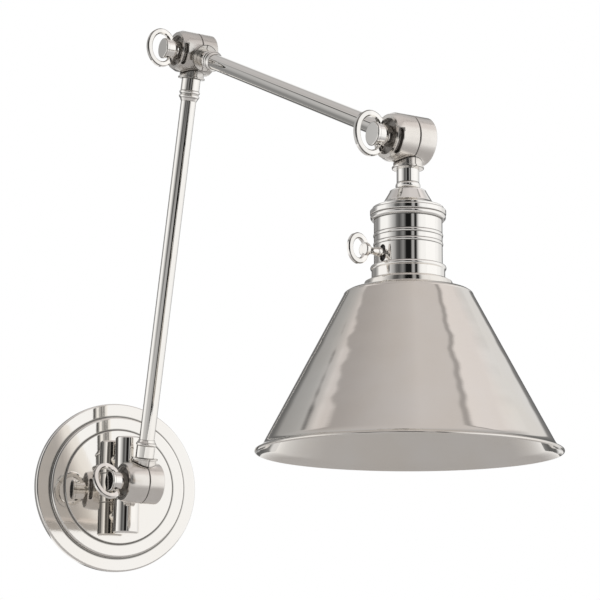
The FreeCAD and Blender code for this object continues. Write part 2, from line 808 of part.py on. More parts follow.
def arm_collar(name, beads, centre, way):
    """A turned collar from a knuckle boss to a tube, with one or two beads."""
    corners = [
        (ZERO, spigot_start),
        (dim.boss_socket_rad, spigot_start),
        (dim.boss_socket_rad, dim.boss_end),
        (dim.arm_neck_rad, dim.boss_end),
        (dim.arm_neck_rad, dim.arm_neck_end),
    ]
    end = dim.arm_neck_end
    for bead in range(beads):
        start, end = end, end + dim.bead_width
        corners += ridge(dim.arm_neck_rad, start, end, dim.bead_rise)
        if bead + 1 < beads:
            end = end + dim.bead_space
            corners.append((dim.arm_neck_rad, end))
    corners += [
        (dim.tube_rad, end + dim.collar_tail),
        (dim.tube_rad, dim.tube_start),
        (ZERO, dim.tube_start),
    ]
    place(turned(name, corners), centre, way, knob_way)


def arm_tube(name, length, start_at, way):
    """A thin tube let into a collar at each end."""
    far_end = length - dim.tube_start
    body = turned(name, [
        (tube_inner, dim.tube_start),
        (dim.tube_rad, dim.tube_start),
        (dim.tube_rad, far_end),
        (tube_inner, far_end),
    ])
    place(body, start_at, way, knob_way)


arm_collar("lower_base_collar", 1, base_at, lower_way)
arm_tube("lower_tube", dim.lower_arm_len, base_at, lower_way)
arm_collar("lower_elbow_collar", 2, elbow_at, -lower_way)
arm_collar("upper_elbow_collar", 2, elbow_at, upper_way)
arm_tube("upper_tube", dim.upper_arm_len, elbow_at, upper_way)
arm_collar("upper_head_collar", 2, head_at, -upper_way)

# ------------------------------------------------------------------------------ head

shell_inner = dim.shell_rad - dim.shell_wall
cap_bead_root = dim.shell_rad + dim.cap_bead_step
rim_root = dim.shell_rad + dim.rim_root_step
key_ball_start = dim.shell_rad + dim.key_ball_gap
body_rad = shell_inner - dim.body_play

head_collar = turned("head_collar", [
    (ZERO, spigot_start),
    (dim.boss_socket_rad, spigot_start),
    (dim.boss_socket_rad, dim.boss_end),
    (dim.arm_neck_rad, dim.boss_end),
    (dim.arm_neck_rad, dim.arm_neck_end),
    *ridge(dim.arm_neck_rad, dim.arm_neck_end, dim.arm_neck_end + dim.head_bead_width,
           dim.bead_rise),
    (dim.arm_neck_rad, dim.cap_top),
    (dim.boss_socket_rad, dim.cap_top),
    (dim.boss_socket_rad, dim.cap_top + dim.cap_wall),
    (ZERO, dim.cap_top + dim.cap_wall),
])
place(head_collar, head_at, head_way, key_way)

cap = turned("socket_cap", [
    (dim.boss_socket_rad, dim.cap_top + dim.cap_wall),
    (dim.boss_socket_rad, dim.cap_top),
    (dim.cap_top_rad, dim.cap_top),
    (dim.cap_top_rad, dim.cap_top + dim.cap_lip),
    (dim.cap_cone_rad, dim.cap_cone_end),
    (cap_bead_root, dim.cap_bead_start),
    *ridge(cap_bead_root, dim.cap_bead_start, dim.cap_end, dim.cap_bead_rise),
    (shell_inner, dim.cap_end),
    (shell_inner, dim.cap_bead_start + dim.cap_wall),
    (dim.cap_cone_rad - dim.cap_wall, dim.cap_cone_end + dim.cap_wall),
    (dim.cap_top_rad - dim.cap_wall, dim.cap_top + dim.cap_wall),
])
place(cap, head_at, head_way, key_way)

shell_line_a_end = dim.shell_line_a + dim.shell_line_width
shell_line_b_end = dim.shell_line_b + dim.shell_line_width
shell = turned("socket_shell", [
    (shell_inner, dim.cap_end),
    (dim.shell_rad, dim.cap_end),
    (dim.shell_rad, dim.shell_line_a),
    (dim.shell_rad + dim.shell_line_rise, dim.shell_line_a),
    (dim.shell_rad + dim.shell_line_rise, shell_line_a_end),
    (dim.shell_rad, shell_line_a_end),
    (dim.shell_rad, dim.shell_line_b),
    (dim.shell_rad + dim.shell_line_rise, dim.shell_line_b),
    (dim.shell_rad + dim.shell_line_rise, shell_line_b_end),
    (dim.shell_rad, shell_line_b_end),
    (dim.shell_rad, dim.shell_end),
    (shell_inner, dim.shell_end),
])
key_slot = sketch_on(shell, "key_slot_shape", "YZ_Plane")
slot_outline(key_slot, ZERO, dim.key_level, dim.key_slot_half_len - dim.key_slot_rad,
             dim.key_slot_rad, True)
push(shell, "Pocket", "key_slot", key_slot, dim.shell_rad * 2, other_way=True)
place(shell, head_at, head_way, key_way)

rim = turned("socket_rim", [
    (shell_inner, dim.shell_end),
    (rim_root, dim.shell_end),
    *ridge(rim_root, dim.shell_end, dim.rim_bead_end, dim.rim_bead_rise),
    (rim_root, dim.shade_top),
    (shell_inner, dim.shade_top),
])
place(rim, head_at, head_way, key_way)

socket = turned("socket_body", [
    (ZERO, dim.cap_end),
    (body_rad, dim.cap_end),
    (body_rad, dim.shade_top),
    (dim.socket_neck_rad, dim.shade_top),
    (dim.socket_neck_rad, dim.socket_end),
    (dim.screw_shell_rad, dim.socket_end),
    (dim.screw_shell_rad, dim.socket_floor),
    (ZERO, dim.socket_floor),
])
key_hole = sketch_on(socket, "key_hole_shape", "YZ_Plane", dim.key_stem_start)
circle(key_hole, ZERO, dim.key_level, dim.key_stem_rad + dim.running_gap)
push(socket, "Pocket", "key_hole", key_hole, dim.shell_rad * 2, other_way=True)
place(socket, head_at, head_way, key_way)

contact_top = dim.socket_floor + dim.contact_thick
screw_shell_inner = dim.screw_shell_rad - dim.screw_shell_wall
contact = turned("centre_contact", [
    (ZERO, dim.socket_floor),
    (dim.contact_rad, dim.socket_floor),
    (dim.contact_rad, contact_top),
    (dim.contact_button_rad, contact_top),
    (dim.contact_button_rad, contact_top + dim.contact_thick),
    (ZERO, contact_top + dim.contact_thick),
])
place(contact, head_at, head_way, key_way)

screw_shell_start = contact_top + dim.screw_shell_lift
screw_shell = turned("screw_shell", [
    (screw_shell_inner, screw_shell_start),
    (dim.screw_shell_rad, screw_shell_start),
    (dim.screw_shell_rad, dim.screw_shell_end),
    (screw_shell_inner, dim.screw_shell_end),
])
place(screw_shell, head_at, head_way, key_way)

shade_in = dim.shade_wall
shade = turned("shade", [
    (dim.socket_neck_rad, dim.shade_top),
    (dim.shade_neck_rad, dim.shade_top),
    (dim.shade_collar_rad, dim.shade_collar_start),
    (dim.shade_collar_rad, dim.shade_collar_end),
    (dim.shade_shoulder_rad, dim.shade_shoulder_end),
    (dim.shade_cone_rad, dim.shade_cone_start),
    (dim.shade_flare_rad, dim.shade_flare_start),
    (dim.shade_lip_rad, dim.shade_lip_start),
    *ridge(dim.shade_lip_rad, dim.shade_lip_start, dim.shade_lip_start + dim.shade_lip_roll,
           dim.shade_lip_roll * 0.45),
    (dim.shade_flare_rad - shade_in, dim.shade_flare_start + shade_in),
    (dim.shade_cone_rad - shade_in, dim.shade_cone_start + shade_in),
    (dim.shade_shoulder_rad - shade_in, dim.shade_shoulder_end + shade_in),
    (dim.shade_collar_rad - shade_in, dim.shade_collar_end + shade_in),
    (dim.shade_collar_rad - shade_in, dim.shade_collar_start + shade_in),
    (dim.shade_neck_rad - shade_in, dim.shade_top + shade_in),
    (dim.socket_neck_rad, dim.shade_top + shade_in),
])
place(shade, head_at, head_way, key_way)

nut_start = dim.shade_top + dim.shade_wall
ring_nut = turned("shade_ring_nut", [
    (dim.socket_neck_rad, nut_start),
    (dim.ring_nut_rad, nut_start),
    (dim.ring_nut_rad, nut_start + dim.ring_nut_thick),
    (dim.socket_neck_rad, nut_start + dim.ring_nut_thick),
])
place(ring_nut, head_at, head_way, key_way)

# Turn key of the socket: local Z points out of the head, X down along it.
key = new_body("turn_key")
key_eye = sketch_on(key, "key_eye_shape", "XZ_Plane")
ellipse(key_eye, dim.key_eye_centre, dim.key_eye_half_across, dim.key_eye_half_along)
ellipse(key_eye, dim.key_eye_centre, dim.key_eye_half_across - dim.key_eye_band,
        dim.key_eye_half_along - dim.key_eye_band)
push(key, "Pad", "key_eye", key_eye, dim.key_eye_thick, both_ways=True)
ease_all(key, "key_eye_bevel", dim.key_eye_edge)
key_ball_end = key_ball_start + dim.key_ball_len
turn_feature(key, "Revolution", "key_stem", [
    (ZERO, dim.key_stem_start),
    (dim.key_stem_rad, dim.key_stem_start),
    (dim.key_stem_rad, key_ball_start),
    *ridge(dim.key_stem_rad, key_ball_start, key_ball_end, dim.key_ball_rad - dim.key_stem_rad),
    (dim.key_neck_rad, key_ball_end + dim.key_neck_len),
    (dim.key_button_rad, dim.key_button_start),
    (dim.key_button_rad, dim.key_button_end),
    (ZERO, dim.key_button_end),
])
place(key, head_at + head_way * dim.key_level.value, key_way, head_way)

# --------------------------------------------------------------------- build and save

doc.recompute()
for item in doc.Objects:
    if "Invalid" in item.State or "Error" in item.State:
        raise RuntimeError("%s did not rebuild: %s" % (item.Name, item.State))
for name, body in made.items():
    body.Label = name
    if body.Shape.isNull() or not body.Shape.isValid() or body.Shape.Volume <= 0:
        raise RuntimeError("%s has no valid solid" % name)
for name, body in made.items():
    body.Shape.exportStep("parts/%s.step" % name)
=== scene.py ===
import json
import math
import bpy
from mathutils import Matrix, Vector


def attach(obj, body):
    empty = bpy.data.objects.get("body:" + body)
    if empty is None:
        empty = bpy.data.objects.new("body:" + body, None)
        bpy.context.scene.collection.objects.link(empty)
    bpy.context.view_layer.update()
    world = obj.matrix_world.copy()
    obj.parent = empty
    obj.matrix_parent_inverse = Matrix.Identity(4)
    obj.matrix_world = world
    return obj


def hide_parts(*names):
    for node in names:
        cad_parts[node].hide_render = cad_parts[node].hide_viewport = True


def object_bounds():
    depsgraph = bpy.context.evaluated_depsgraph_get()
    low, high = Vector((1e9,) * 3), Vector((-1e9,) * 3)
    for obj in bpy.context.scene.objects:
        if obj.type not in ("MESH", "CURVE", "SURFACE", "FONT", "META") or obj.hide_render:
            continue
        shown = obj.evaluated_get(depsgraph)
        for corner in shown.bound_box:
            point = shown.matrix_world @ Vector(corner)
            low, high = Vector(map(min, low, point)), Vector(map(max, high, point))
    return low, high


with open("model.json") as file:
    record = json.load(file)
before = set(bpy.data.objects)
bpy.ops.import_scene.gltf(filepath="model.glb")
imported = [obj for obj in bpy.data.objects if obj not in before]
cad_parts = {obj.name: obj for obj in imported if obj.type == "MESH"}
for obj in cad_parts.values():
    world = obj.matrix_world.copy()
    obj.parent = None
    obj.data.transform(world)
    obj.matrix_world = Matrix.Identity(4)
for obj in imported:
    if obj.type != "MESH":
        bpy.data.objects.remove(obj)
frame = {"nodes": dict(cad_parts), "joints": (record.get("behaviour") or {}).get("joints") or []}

cad_low, cad_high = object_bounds()

# ------------------------------------------------------------------ the lamp's own axes
# The lamp hangs on the wall plane Y = 0.  The joints of the frame say where the barrel,
# the three knuckles and the key are, so every piece below is placed from them.
MM = 0.001
UP = Vector((0, 0, 1))
OUT = Vector((0, -1, 0))
joints = {joint["name"]: joint for joint in frame["joints"]}
barrel_at = Vector(joints["barrel_swing"]["pos_m"])
base_at = Vector(joints["base_tilt"]["pos_m"])
elbow_at = Vector(joints["elbow_bend"]["pos_m"])
head_at = Vector(joints["head_tilt"]["pos_m"])
key_at = Vector(joints["key_turn"]["pos_m"])
knob_way = Vector(joints["elbow_bend"]["axis"]).normalized()
key_way = Vector(joints["key_turn"]["axis"]).normalized()
arm_way = (base_at - barrel_at).normalized()
lower_way = (elbow_at - base_at).normalized()
upper_way = (head_at - elbow_at).normalized()
head_way = (key_at - head_at).normalized()

# ------------------------------------------------------------------------------ camera
# A long lens from below and from the left of the lamp, a little rolled.
PITCH, TURN, ROLL = math.radians(10.11), math.radians(-24.12), math.radians(1.0)
LENS, SENSOR = 125.71, 36.0
right = Vector((math.cos(TURN), math.sin(TURN), 0))
forward = Vector((-math.sin(TURN) * math.cos(PITCH), math.cos(TURN) * math.cos(PITCH),
                  math.sin(PITCH)))
above = right.cross(forward)
view_right = right * math.cos(ROLL) + above * math.sin(ROLL)
view_up = above * math.cos(ROLL) - right * math.sin(ROLL)
lamp_from_camera = Vector((-157.45, -159.75, 1781.77)) * MM
camera_data = bpy.data.cameras.new("camera")
camera_data.sensor_width = SENSOR
camera_data.lens = LENS
camera_data.clip_start = 0.05
camera = bpy.data.objects.new("camera", camera_data)
bpy.context.collection.objects.link(camera)
turned_to = Matrix((view_right, view_up, -forward)).transposed().to_4x4()
camera_place = -(view_right * lamp_from_camera.x + view_up * lamp_from_camera.y
                 + forward * lamp_from_camera.z)
camera.matrix_world = Matrix.Translation(camera_place) @ turned_to
bpy.context.scene.camera = camera
bpy.context.scene.view_settings.view_transform = "Standard"


# --------------------------------------------------------------------------- backplate
# The round plate is spun from sheet brass in two raised steps, polished and nickel
# plated.  It hides the wall box and its rim lies flat on the wall.

class Value:
    """A number socket of a shader; arithmetic on it adds Math nodes."""

    def __init__(self, owner, socket):
        self.owner = owner
        self.socket = socket

    def _math(self, operation, *values):
        node = self.owner.node("ShaderNodeMath", {"operation": operation},
                               dict(enumerate(values)))
        return Value(self.owner, node.outputs[0])

    def __add__(self, other):
        return self._math("ADD", self, other)

    def __radd__(self, other):
        return self._math("ADD", other, self)

    def __sub__(self, other):
        return self._math("SUBTRACT", self, other)

    def __rsub__(self, other):
        return self._math("SUBTRACT", other, self)

    def __mul__(self, other):
        return self._math("MULTIPLY", self, other)

    def __truediv__(self, other):
        return self._math("DIVIDE", self, other)

    def at_least(self, other):
        return self._math("MAXIMUM", self, other)

    def unsigned(self):
        return self._math("ABSOLUTE", self)

    def angle_over(self, other):
        return self._math("ARCTAN2", self, other)

    def held(self):
        """The value kept between 0 and 1."""
        node = self.owner.node("ShaderNodeMath", {"operation": "ADD", "use_clamp": True},
                               {0: self, 1: 0.0})
        return Value(self.owner, node.outputs[0])


def grey(level):
    return (level, level, level)


class Nodes:
    """A node tree of a material or of the world, filled node by node."""

    def __init__(self, tree):
        self.tree = tree

    def node(self, kind, settings=None, inputs=None):
        node = self.tree.nodes.new(kind)
        for setting, value in (settings or {}).items():
            if setting == "stops":
                self.set_stops(node.color_ramp, value)
            else:
                setattr(node, setting, value)
        for socket, value in (inputs or {}).items():
            self.feed(node.inputs[socket], value)
        return node

    def set_stops(self, ramp, stops):
        while len(ramp.elements) < len(stops):
            ramp.elements.new(0.5)
        for element, (place, colour) in zip(ramp.elements, stops):
            element.position = place
            element.color = (*colour, 1)

    def feed(self, socket, value):
        if isinstance(value, Value):
            value = value.socket
        if isinstance(value, bpy.types.NodeSocket):
            self.tree.links.new(value, socket)
        elif socket.type == "RGBA" and len(value) == 3:
            socket.default_value = (*value, 1)
        else:
            socket.default_value = value

    def value(self, socket):
        return Value(self, socket)

    def dot(self, vector, way):
        node = self.node("ShaderNodeVectorMath", {"operation": "DOT_PRODUCT"},
                         {0: vector, 1: tuple(way)})
        return Value(self, node.outputs["Value"])

    def mix(self, factor, first, second):
        """Two colours mixed."""
        node = self.node("ShaderNodeMix", {"data_type": "RGBA"},
                         {0: factor, 6: first, 7: second})
        return node.outputs[2]

    def mix_shader(self, factor, first, second):
        node = self.node("ShaderNodeMixShader", None, {0: factor, 1: first, 2: second})
        return node.outputs[0]

    def ramp(self, factor, stops):
        return self.node("ShaderNodeValToRGB", {"stops": stops}, {0: factor}).outputs[0]

    def noise(self, scale, detail=3.0, where=None):
        node = self.node("ShaderNodeTexNoise", None, {
            "Vector": where or self.where, "Scale": scale, "Detail": detail})
        return Value(self, node.outputs["Fac"])


class Finish(Nodes):
    """One procedural material, built node by node."""

    def __init__(self, name):
        self.material = bpy.data.materials.new(name)
        self.material.use_nodes = True
        super().__init__(self.material.node_tree)
        self.shader = self.tree.nodes["Principled BSDF"]
        self.where = self.node("ShaderNodeTexCoord").outputs["Object"]

    def along(self, axis_at, axis_way):
        """How far a point lies along an axis, in mm."""
        return self.dot(self.where, axis_way) / MM - axis_at.dot(axis_way) / MM

    def around(self, axis_at, axis_way):
        """How far a point lies from an axis, in mm."""
        from_axis = self.node("ShaderNodeVectorMath", {"operation": "SUBTRACT"},
                              {0: self.where, 1: tuple(axis_at)}).outputs[0]
        across = self.node("ShaderNodeVectorMath", {"operation": "CROSS_PRODUCT"},
                           {0: from_axis, 1: tuple(axis_way)}).outputs[0]
        length = self.node("ShaderNodeVectorMath", {"operation": "LENGTH"}, {0: across})
        return Value(self, length.outputs["Value"]) / MM

    def crease_shade(self, place, marks, half_width):
        """1 in narrow lines at the marks, else 0: the mask of painted shade in creases and at
        edges.
        """
        low, high = marks[0] - 2 * half_width, marks[-1] + 2 * half_width
        stops = [((mark + step * half_width - low) / (high - low), grey(level))
                 for mark in marks for step, level in ((-1, 0), (0, 1), (1, 0))]
        return Value(self, self.ramp((place - low) / (high - low), stops))

    def bump(self, height, depth, strength=1.0):
        node = self.node("ShaderNodeBump", None, {
            "Height": height, "Distance": depth, "Strength": strength})
        return node.outputs["Normal"]

    def set(self, **inputs):
        names = {"colour": "Base Color", "roughness": "Roughness", "metallic": "Metallic",
                 "normal": "Normal"}
        for name, value in inputs.items():
            self.feed(self.shader.inputs[names[name]], value)
        return self.material


def scaled(tone, *shades):
    """A tone with its three parts scaled, alike or one by one."""
    return tuple(part * shade for part, shade in zip(tone, shades * (4 - len(shades))))


def polished_nickel(name, tone, crease_shade=None):
    """Bright nickel: faint cloudy marks of the polishing wheel and hairline scratches, and
    painted shade in narrow dark lines at the creases when these are given.
    """
    finish = Finish(name)
    cloud = finish.noise(28.0, 4.0)
    smear = finish.noise(9.0, 2.0)
    stretched = finish.node("ShaderNodeMapping", None, {
        "Vector": finish.where, "Scale": (900.0, 900.0, 60.0)}).outputs[0]
    hairline = finish.noise(1.0, 2.0, stretched)
    colour = finish.mix((smear * 1.6 - 0.4).held(), tone, scaled(tone, 0.97, 0.94, 0.90))
    roughness = 0.015 + cloud * 0.03 + hairline * 0.02
    if crease_shade:
        # Painted shade: narrow dark, rougher lines at creases and edges.
        crease_shade_mask = crease_shade(finish)
        colour = finish.mix(crease_shade_mask, colour, CREASE_SHADE_TONE)
        roughness = roughness + crease_shade_mask * 0.3
    return finish.set(colour=colour, metallic=1.0, roughness=roughness,
                      normal=finish.bump(hairline * 0.3 + cloud, 0.00002, 0.25))


# The colour of the painted shade in creases.
CREASE_SHADE_TONE = (0.09, 0.085, 0.075)
NICKEL_TONE = (0.92, 0.905, 0.88)
nickel = polished_nickel("polished_nickel", NICKEL_TONE)
PLATE_RIM, PLATE_MID, PLATE_TOP = 71.2, 59.1, 48.0
PLATE_SHADE_HALF_WIDTH = 1.3


# Painted shade in dark rings at the plate's two raised steps.
def plate_crease_shade(finish):
    from_middle = finish.around(Vector((0, 0, 0)), OUT)
    return finish.crease_shade(from_middle, (PLATE_TOP + 0.5, PLATE_MID + 1.0), PLATE_SHADE_HALF_WIDTH)


plate_nickel = polished_nickel("plate_nickel", NICKEL_TONE, plate_crease_shade)
ARC_STEPS, ROUND_STEPS = 8, 128
SHARP = math.radians(32)


def path_points(steps):
    """Corner points of a lathe profile; a step with a third value is an arc that stands
    out to the right by that much on its way from the step before."""
    points = [Vector((steps[0][0], steps[0][1]))]
    for step in steps[1:]:
        start, end = points[-1], Vector((step[0], step[1]))
        if len(step) == 2:
            points.append(end)
            continue
        chord = end - start
        half, rise = chord.length / 2, step[2]
        radius = (half * half + rise * rise) / (2 * abs(rise))
        swing = math.asin(min(1, half / radius))
        if abs(rise) > half:
            swing = math.pi - swing
        outward = Vector((chord.y, -chord.x)).normalized() * math.copysign(1, rise)
        centre = (start + end) / 2 + outward * (abs(rise) - radius)
        for index in range(1, ARC_STEPS + 1):
            angle = swing * (2 * index / ARC_STEPS - 1)
            along = chord.normalized() * math.sin(angle) + outward * math.cos(angle)
            points.append(centre + along * radius)
    return points


def pick(piece):
    """Select one piece alone."""
    bpy.ops.object.select_all(action="DESELECT")
    piece.select_set(True)
    bpy.context.view_layer.objects.active = piece


def settle(piece, origin, along, across):
    """Turn a piece made on the Z axis to its own place, with the place in its mesh."""
    across = (across - along * across.dot(along)).normalized()
    facing = Matrix((across, along.cross(across), along)).transposed().to_4x4()
    pick(piece)
    piece.matrix_world = Matrix.Translation(origin) @ facing
    bpy.ops.object.transform_apply(location=True, rotation=True, scale=True)


def smooth(piece, edge=0.0, segments=2):
    """Ease the sharp edges with a small bevel and smooth the rest."""
    pick(piece)
    if edge:
        bevel = piece.modifiers.new("eased_edges", "BEVEL")
        bevel.width = edge * MM
        bevel.segments = segments
        bevel.limit_method = "ANGLE"
        bevel.angle_limit = SHARP
        bpy.ops.object.modifier_apply(modifier=bevel.name)
    bpy.ops.object.shade_smooth_by_angle(angle=SHARP)
    weighted = piece.modifiers.new("weighted_normals", "WEIGHTED_NORMAL")
    weighted.keep_sharp = True
    bpy.ops.object.modifier_apply(modifier=weighted.name)


def lathe(name, steps, edge=0.25, rounds=ROUND_STEPS, segments=2):
    """Extrude a profile step by step and spin it round the Z axis.  Steps are in mm."""
    points = path_points(steps)
    first = points[0]
    bpy.ops.object.select_all(action="DESELECT")
    bpy.ops.mesh.primitive_plane_add(size=MM, location=(first.x * MM, 0, first.y * MM))
    piece = bpy.context.object
    piece.name = name
    bpy.ops.object.transform_apply(location=True, rotation=False, scale=False)
    bpy.ops.object.mode_set(mode="EDIT")
    bpy.ops.mesh.select_all(action="SELECT")
    bpy.ops.mesh.merge(type="CENTER")
    for here, there in zip(points, points[1:]):
        move = there - here
        bpy.ops.mesh.extrude_vertices_move(
            TRANSFORM_OT_translate={"value": (move.x * MM, 0, move.y * MM)})
    bpy.ops.mesh.select_all(action="SELECT")
    bpy.ops.mesh.spin(steps=rounds, angle=2 * math.pi, center=(0, 0, 0), axis=(0, 0, 1))
    bpy.ops.mesh.select_all(action="SELECT")
    bpy.ops.mesh.remove_doubles(threshold=0.002 * MM)
    bpy.ops.mesh.normals_make_consistent(inside=False)
    bpy.ops.object.mode_set(mode="OBJECT")
    smooth(piece, edge, segments)
    return piece


def finish_piece(piece, material, body, slot, *nodes):
    """Give a piece its material, the body that carries it and the solids it stands for."""
    piece.data.materials.clear()
    piece.data.materials.append(material)
    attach(piece, body)
    if nodes:
        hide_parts(*nodes)


PLATE_RIM_HIGH, PLATE_MID_HIGH, PLATE_TOP_HIGH = 6.0, 10.0, 11.3
PLATE_WALL = 1.5
plate = lathe("plate_shell", [
    (0, PLATE_TOP_HIGH - PLATE_WALL),
    (PLATE_TOP - PLATE_WALL, PLATE_TOP_HIGH - PLATE_WALL),
    (PLATE_TOP - PLATE_WALL, PLATE_MID_HIGH - PLATE_WALL),
    (PLATE_MID - PLATE_WALL, PLATE_MID_HIGH - PLATE_WALL),
    (PLATE_MID - PLATE_WALL, PLATE_RIM_HIGH - PLATE_WALL),
    (PLATE_RIM - PLATE_WALL, PLATE_RIM_HIGH - PLATE_WALL),
    (PLATE_RIM - PLATE_WALL, 0),
    (PLATE_RIM, 0),
    (PLATE_RIM, PLATE_RIM_HIGH - 1.6),
    (PLATE_RIM - 1.6, PLATE_RIM_HIGH, 0.47),
    (PLATE_MID + 0.5, PLATE_RIM_HIGH),
    (PLATE_MID, PLATE_RIM_HIGH + 0.5, -0.14),
    (PLATE_MID, PLATE_MID_HIGH - 1.6),
    (PLATE_MID - 1.6, PLATE_MID_HIGH, 0.47),
    (PLATE_TOP + 0.3, PLATE_MID_HIGH),
    (PLATE_TOP, PLATE_MID_HIGH + 0.3, -0.09),
    (PLATE_TOP, PLATE_TOP_HIGH - 0.9),
    (PLATE_TOP - 0.9, PLATE_TOP_HIGH, 0.26),
    (0, PLATE_TOP_HIGH),
], edge=0.15, rounds=192)
settle(plate, Vector((0, 0, 0)), OUT, UP)
finish_piece(plate, plate_nickel, "root", "polished_nickel", "backplate")

# ---------------------------------------------------------------- strap and its screws
# A strip of zinc-plated steel bolts to the wall box behind the plate.  A grub screw in
# the plate's rim and two screws into the posts hold the plate to it and to the barrel.

def plated_steel(name, tone):
    """Dull plated steel with a cloudy bloom and fine rolling marks."""
    finish = Finish(name)
    bloom = finish.noise(60.0, 5.0)
    colour = finish.mix(bloom.held(), tone, scaled(tone, 0.72))
    return finish.set(colour=colour, metallic=1.0, roughness=0.34 + bloom * 0.18,
                      normal=finish.bump(finish.noise(700.0, 2.0), 0.00002, 0.4))


def plate_solids(material, *nodes):
    """Give the solids that are shown as they are their material."""
    for node in nodes:
        slots = frame["nodes"][node].data.materials
        slots.clear()
        slots.append(material)


steel = plated_steel("plain_steel", (0.42, 0.41, 0.39))
plate_solids(steel, "mounting_strap", "rim_grub_screw", "post_screws", "barrel_pin")

# --------------------------------------------------------------------- posts and barrel
# Two short turned posts carry the upright barrel clear of the plate.  Its two ends are
# fixed, with a chamfer turned on each, and the middle turns between thin steel washers.
POST_RAD, POST_HIGH, POST_SEAT = 4.7, 24.0, 9.6
BARREL_RAD, BARREL_HALF, BARREL_MID = 10.95, 40.4, 12.0
BARREL_GAP = 0.85
BARREL_CHAMFER = 1.3
barrel_out = -barrel_at.y / MM
for level, side in (("upper", 1), ("lower", -1)):
    post = lathe("post_" + level + "_tube", [
        (0, PLATE_TOP_HIGH), (POST_RAD + 0.9, PLATE_TOP_HIGH),
        (POST_RAD + 0.9, PLATE_TOP_HIGH + 0.8), (POST_RAD, PLATE_TOP_HIGH + 1.1),
        (POST_RAD, barrel_out - POST_SEAT), (0, barrel_out - POST_SEAT)], edge=0.2)
    settle(post, UP * (side * POST_HIGH * MM), OUT, UP)
    finish_piece(post, nickel, "root", "polished_nickel", "post_" + level)
    end = lathe("barrel_" + level + "_end", [
        (0, BARREL_MID + BARREL_GAP), (BARREL_RAD, BARREL_MID + BARREL_GAP),
        (BARREL_RAD, BARREL_HALF - BARREL_CHAMFER),
        (BARREL_RAD - BARREL_CHAMFER, BARREL_HALF), (0, BARREL_HALF)], edge=0.3)
    settle(end, barrel_at, UP * side, OUT)
    finish_piece(end, nickel, "root", "polished_nickel", "barrel_" + level)
plate_solids(steel, "barrel_washers")


def tool_cut(piece, tool, operation="DIFFERENCE"):
    """Cut a piece with another, or melt the two into one, and take the other away."""
    pick(piece)
    cut = piece.modifiers.new("worked", "BOOLEAN")
    cut.operation = operation
    cut.solver = "EXACT"
    cut.object = tool
    bpy.ops.object.modifier_apply(modifier=cut.name)
    bpy.data.objects.remove(tool, do_unlink=True)


KNUCKLE_RAD, KNUCKLE_HALF, SEAM = 17.0, 13.4, 0.6
SADDLE_GAP, CUT_REACH = 0.4, 30.0
STUB_RAD, STUB_REACH = 12.0, 14.2
middle = lathe("barrel_middle_piece", [
    (0, -BARREL_MID), (BARREL_RAD, -BARREL_MID), (BARREL_RAD, BARREL_MID),
    (0, BARREL_MID)], edge=0.3)
settle(middle, barrel_at, UP, arm_way)
stub = lathe("stub", [(0, 0), (STUB_RAD - 0.05, 0), (STUB_RAD - 0.05, STUB_REACH),
                      (0, STUB_REACH)], edge=0)
settle(stub, barrel_at, arm_way, UP)
tool_cut(middle, stub, "UNION")
scoop = lathe("scoop", [(0, -CUT_REACH), (KNUCKLE_RAD + SADDLE_GAP, -CUT_REACH),
                        (KNUCKLE_RAD + SADDLE_GAP, SEAM), (KNUCKLE_RAD, SEAM),
                        (KNUCKLE_RAD, CUT_REACH), (0, CUT_REACH)], edge=0)
settle(scoop, base_at, knob_way, UP)
tool_cut(middle, scoop)
smooth(middle)
finish_piece(middle, nickel, "swing", "polished_nickel", "barrel_middle")

# ----------------------------------------------------------------------------- knuckles
# Each knuckle is two satin nickel castings that turn on one spigot.  Half A, on the
# knob's side, is coned to a slotted collar round its recess; half B is plain.
COLLAR_RAD, COLLAR_FRONT, KNUCKLE_EDGE = 15.2, 17.7, 0.6
# SATIN_TONE is the knuckles' own tone; the second is a darker copy of it, painted shade for the
# elbow.
SATIN_TONE, SHADED_SATIN_TONE = (0.86, 0.83, 0.79), (0.72, 0.70, 0.67)
# Tones of the painted shade in the knuckles' slot, seam and recess, and the lighter grey of the
# recess wall.
SLOT_AND_SEAM_SHADE_TONE, RECESS_SHADE_TONE = (0.11, 0.10, 0.09), (0.36, 0.34, 0.31)
WALL_TONE = (0.55, 0.53, 0.50)
BOSS_RAD, LIP_RAD, BOSS_START, LIP_START, BOSS_END = 10.0, 11.0, 12.0, 19.6, 21.0
RECESS_RAD, RECESS_FLOOR = 12.5, 12.0
SPIGOT_RAD, SPIGOT_END, RUNNING = 8.0, 11.7, 0.05
STEM_RAD, STEM_END = 4.0, -10.0


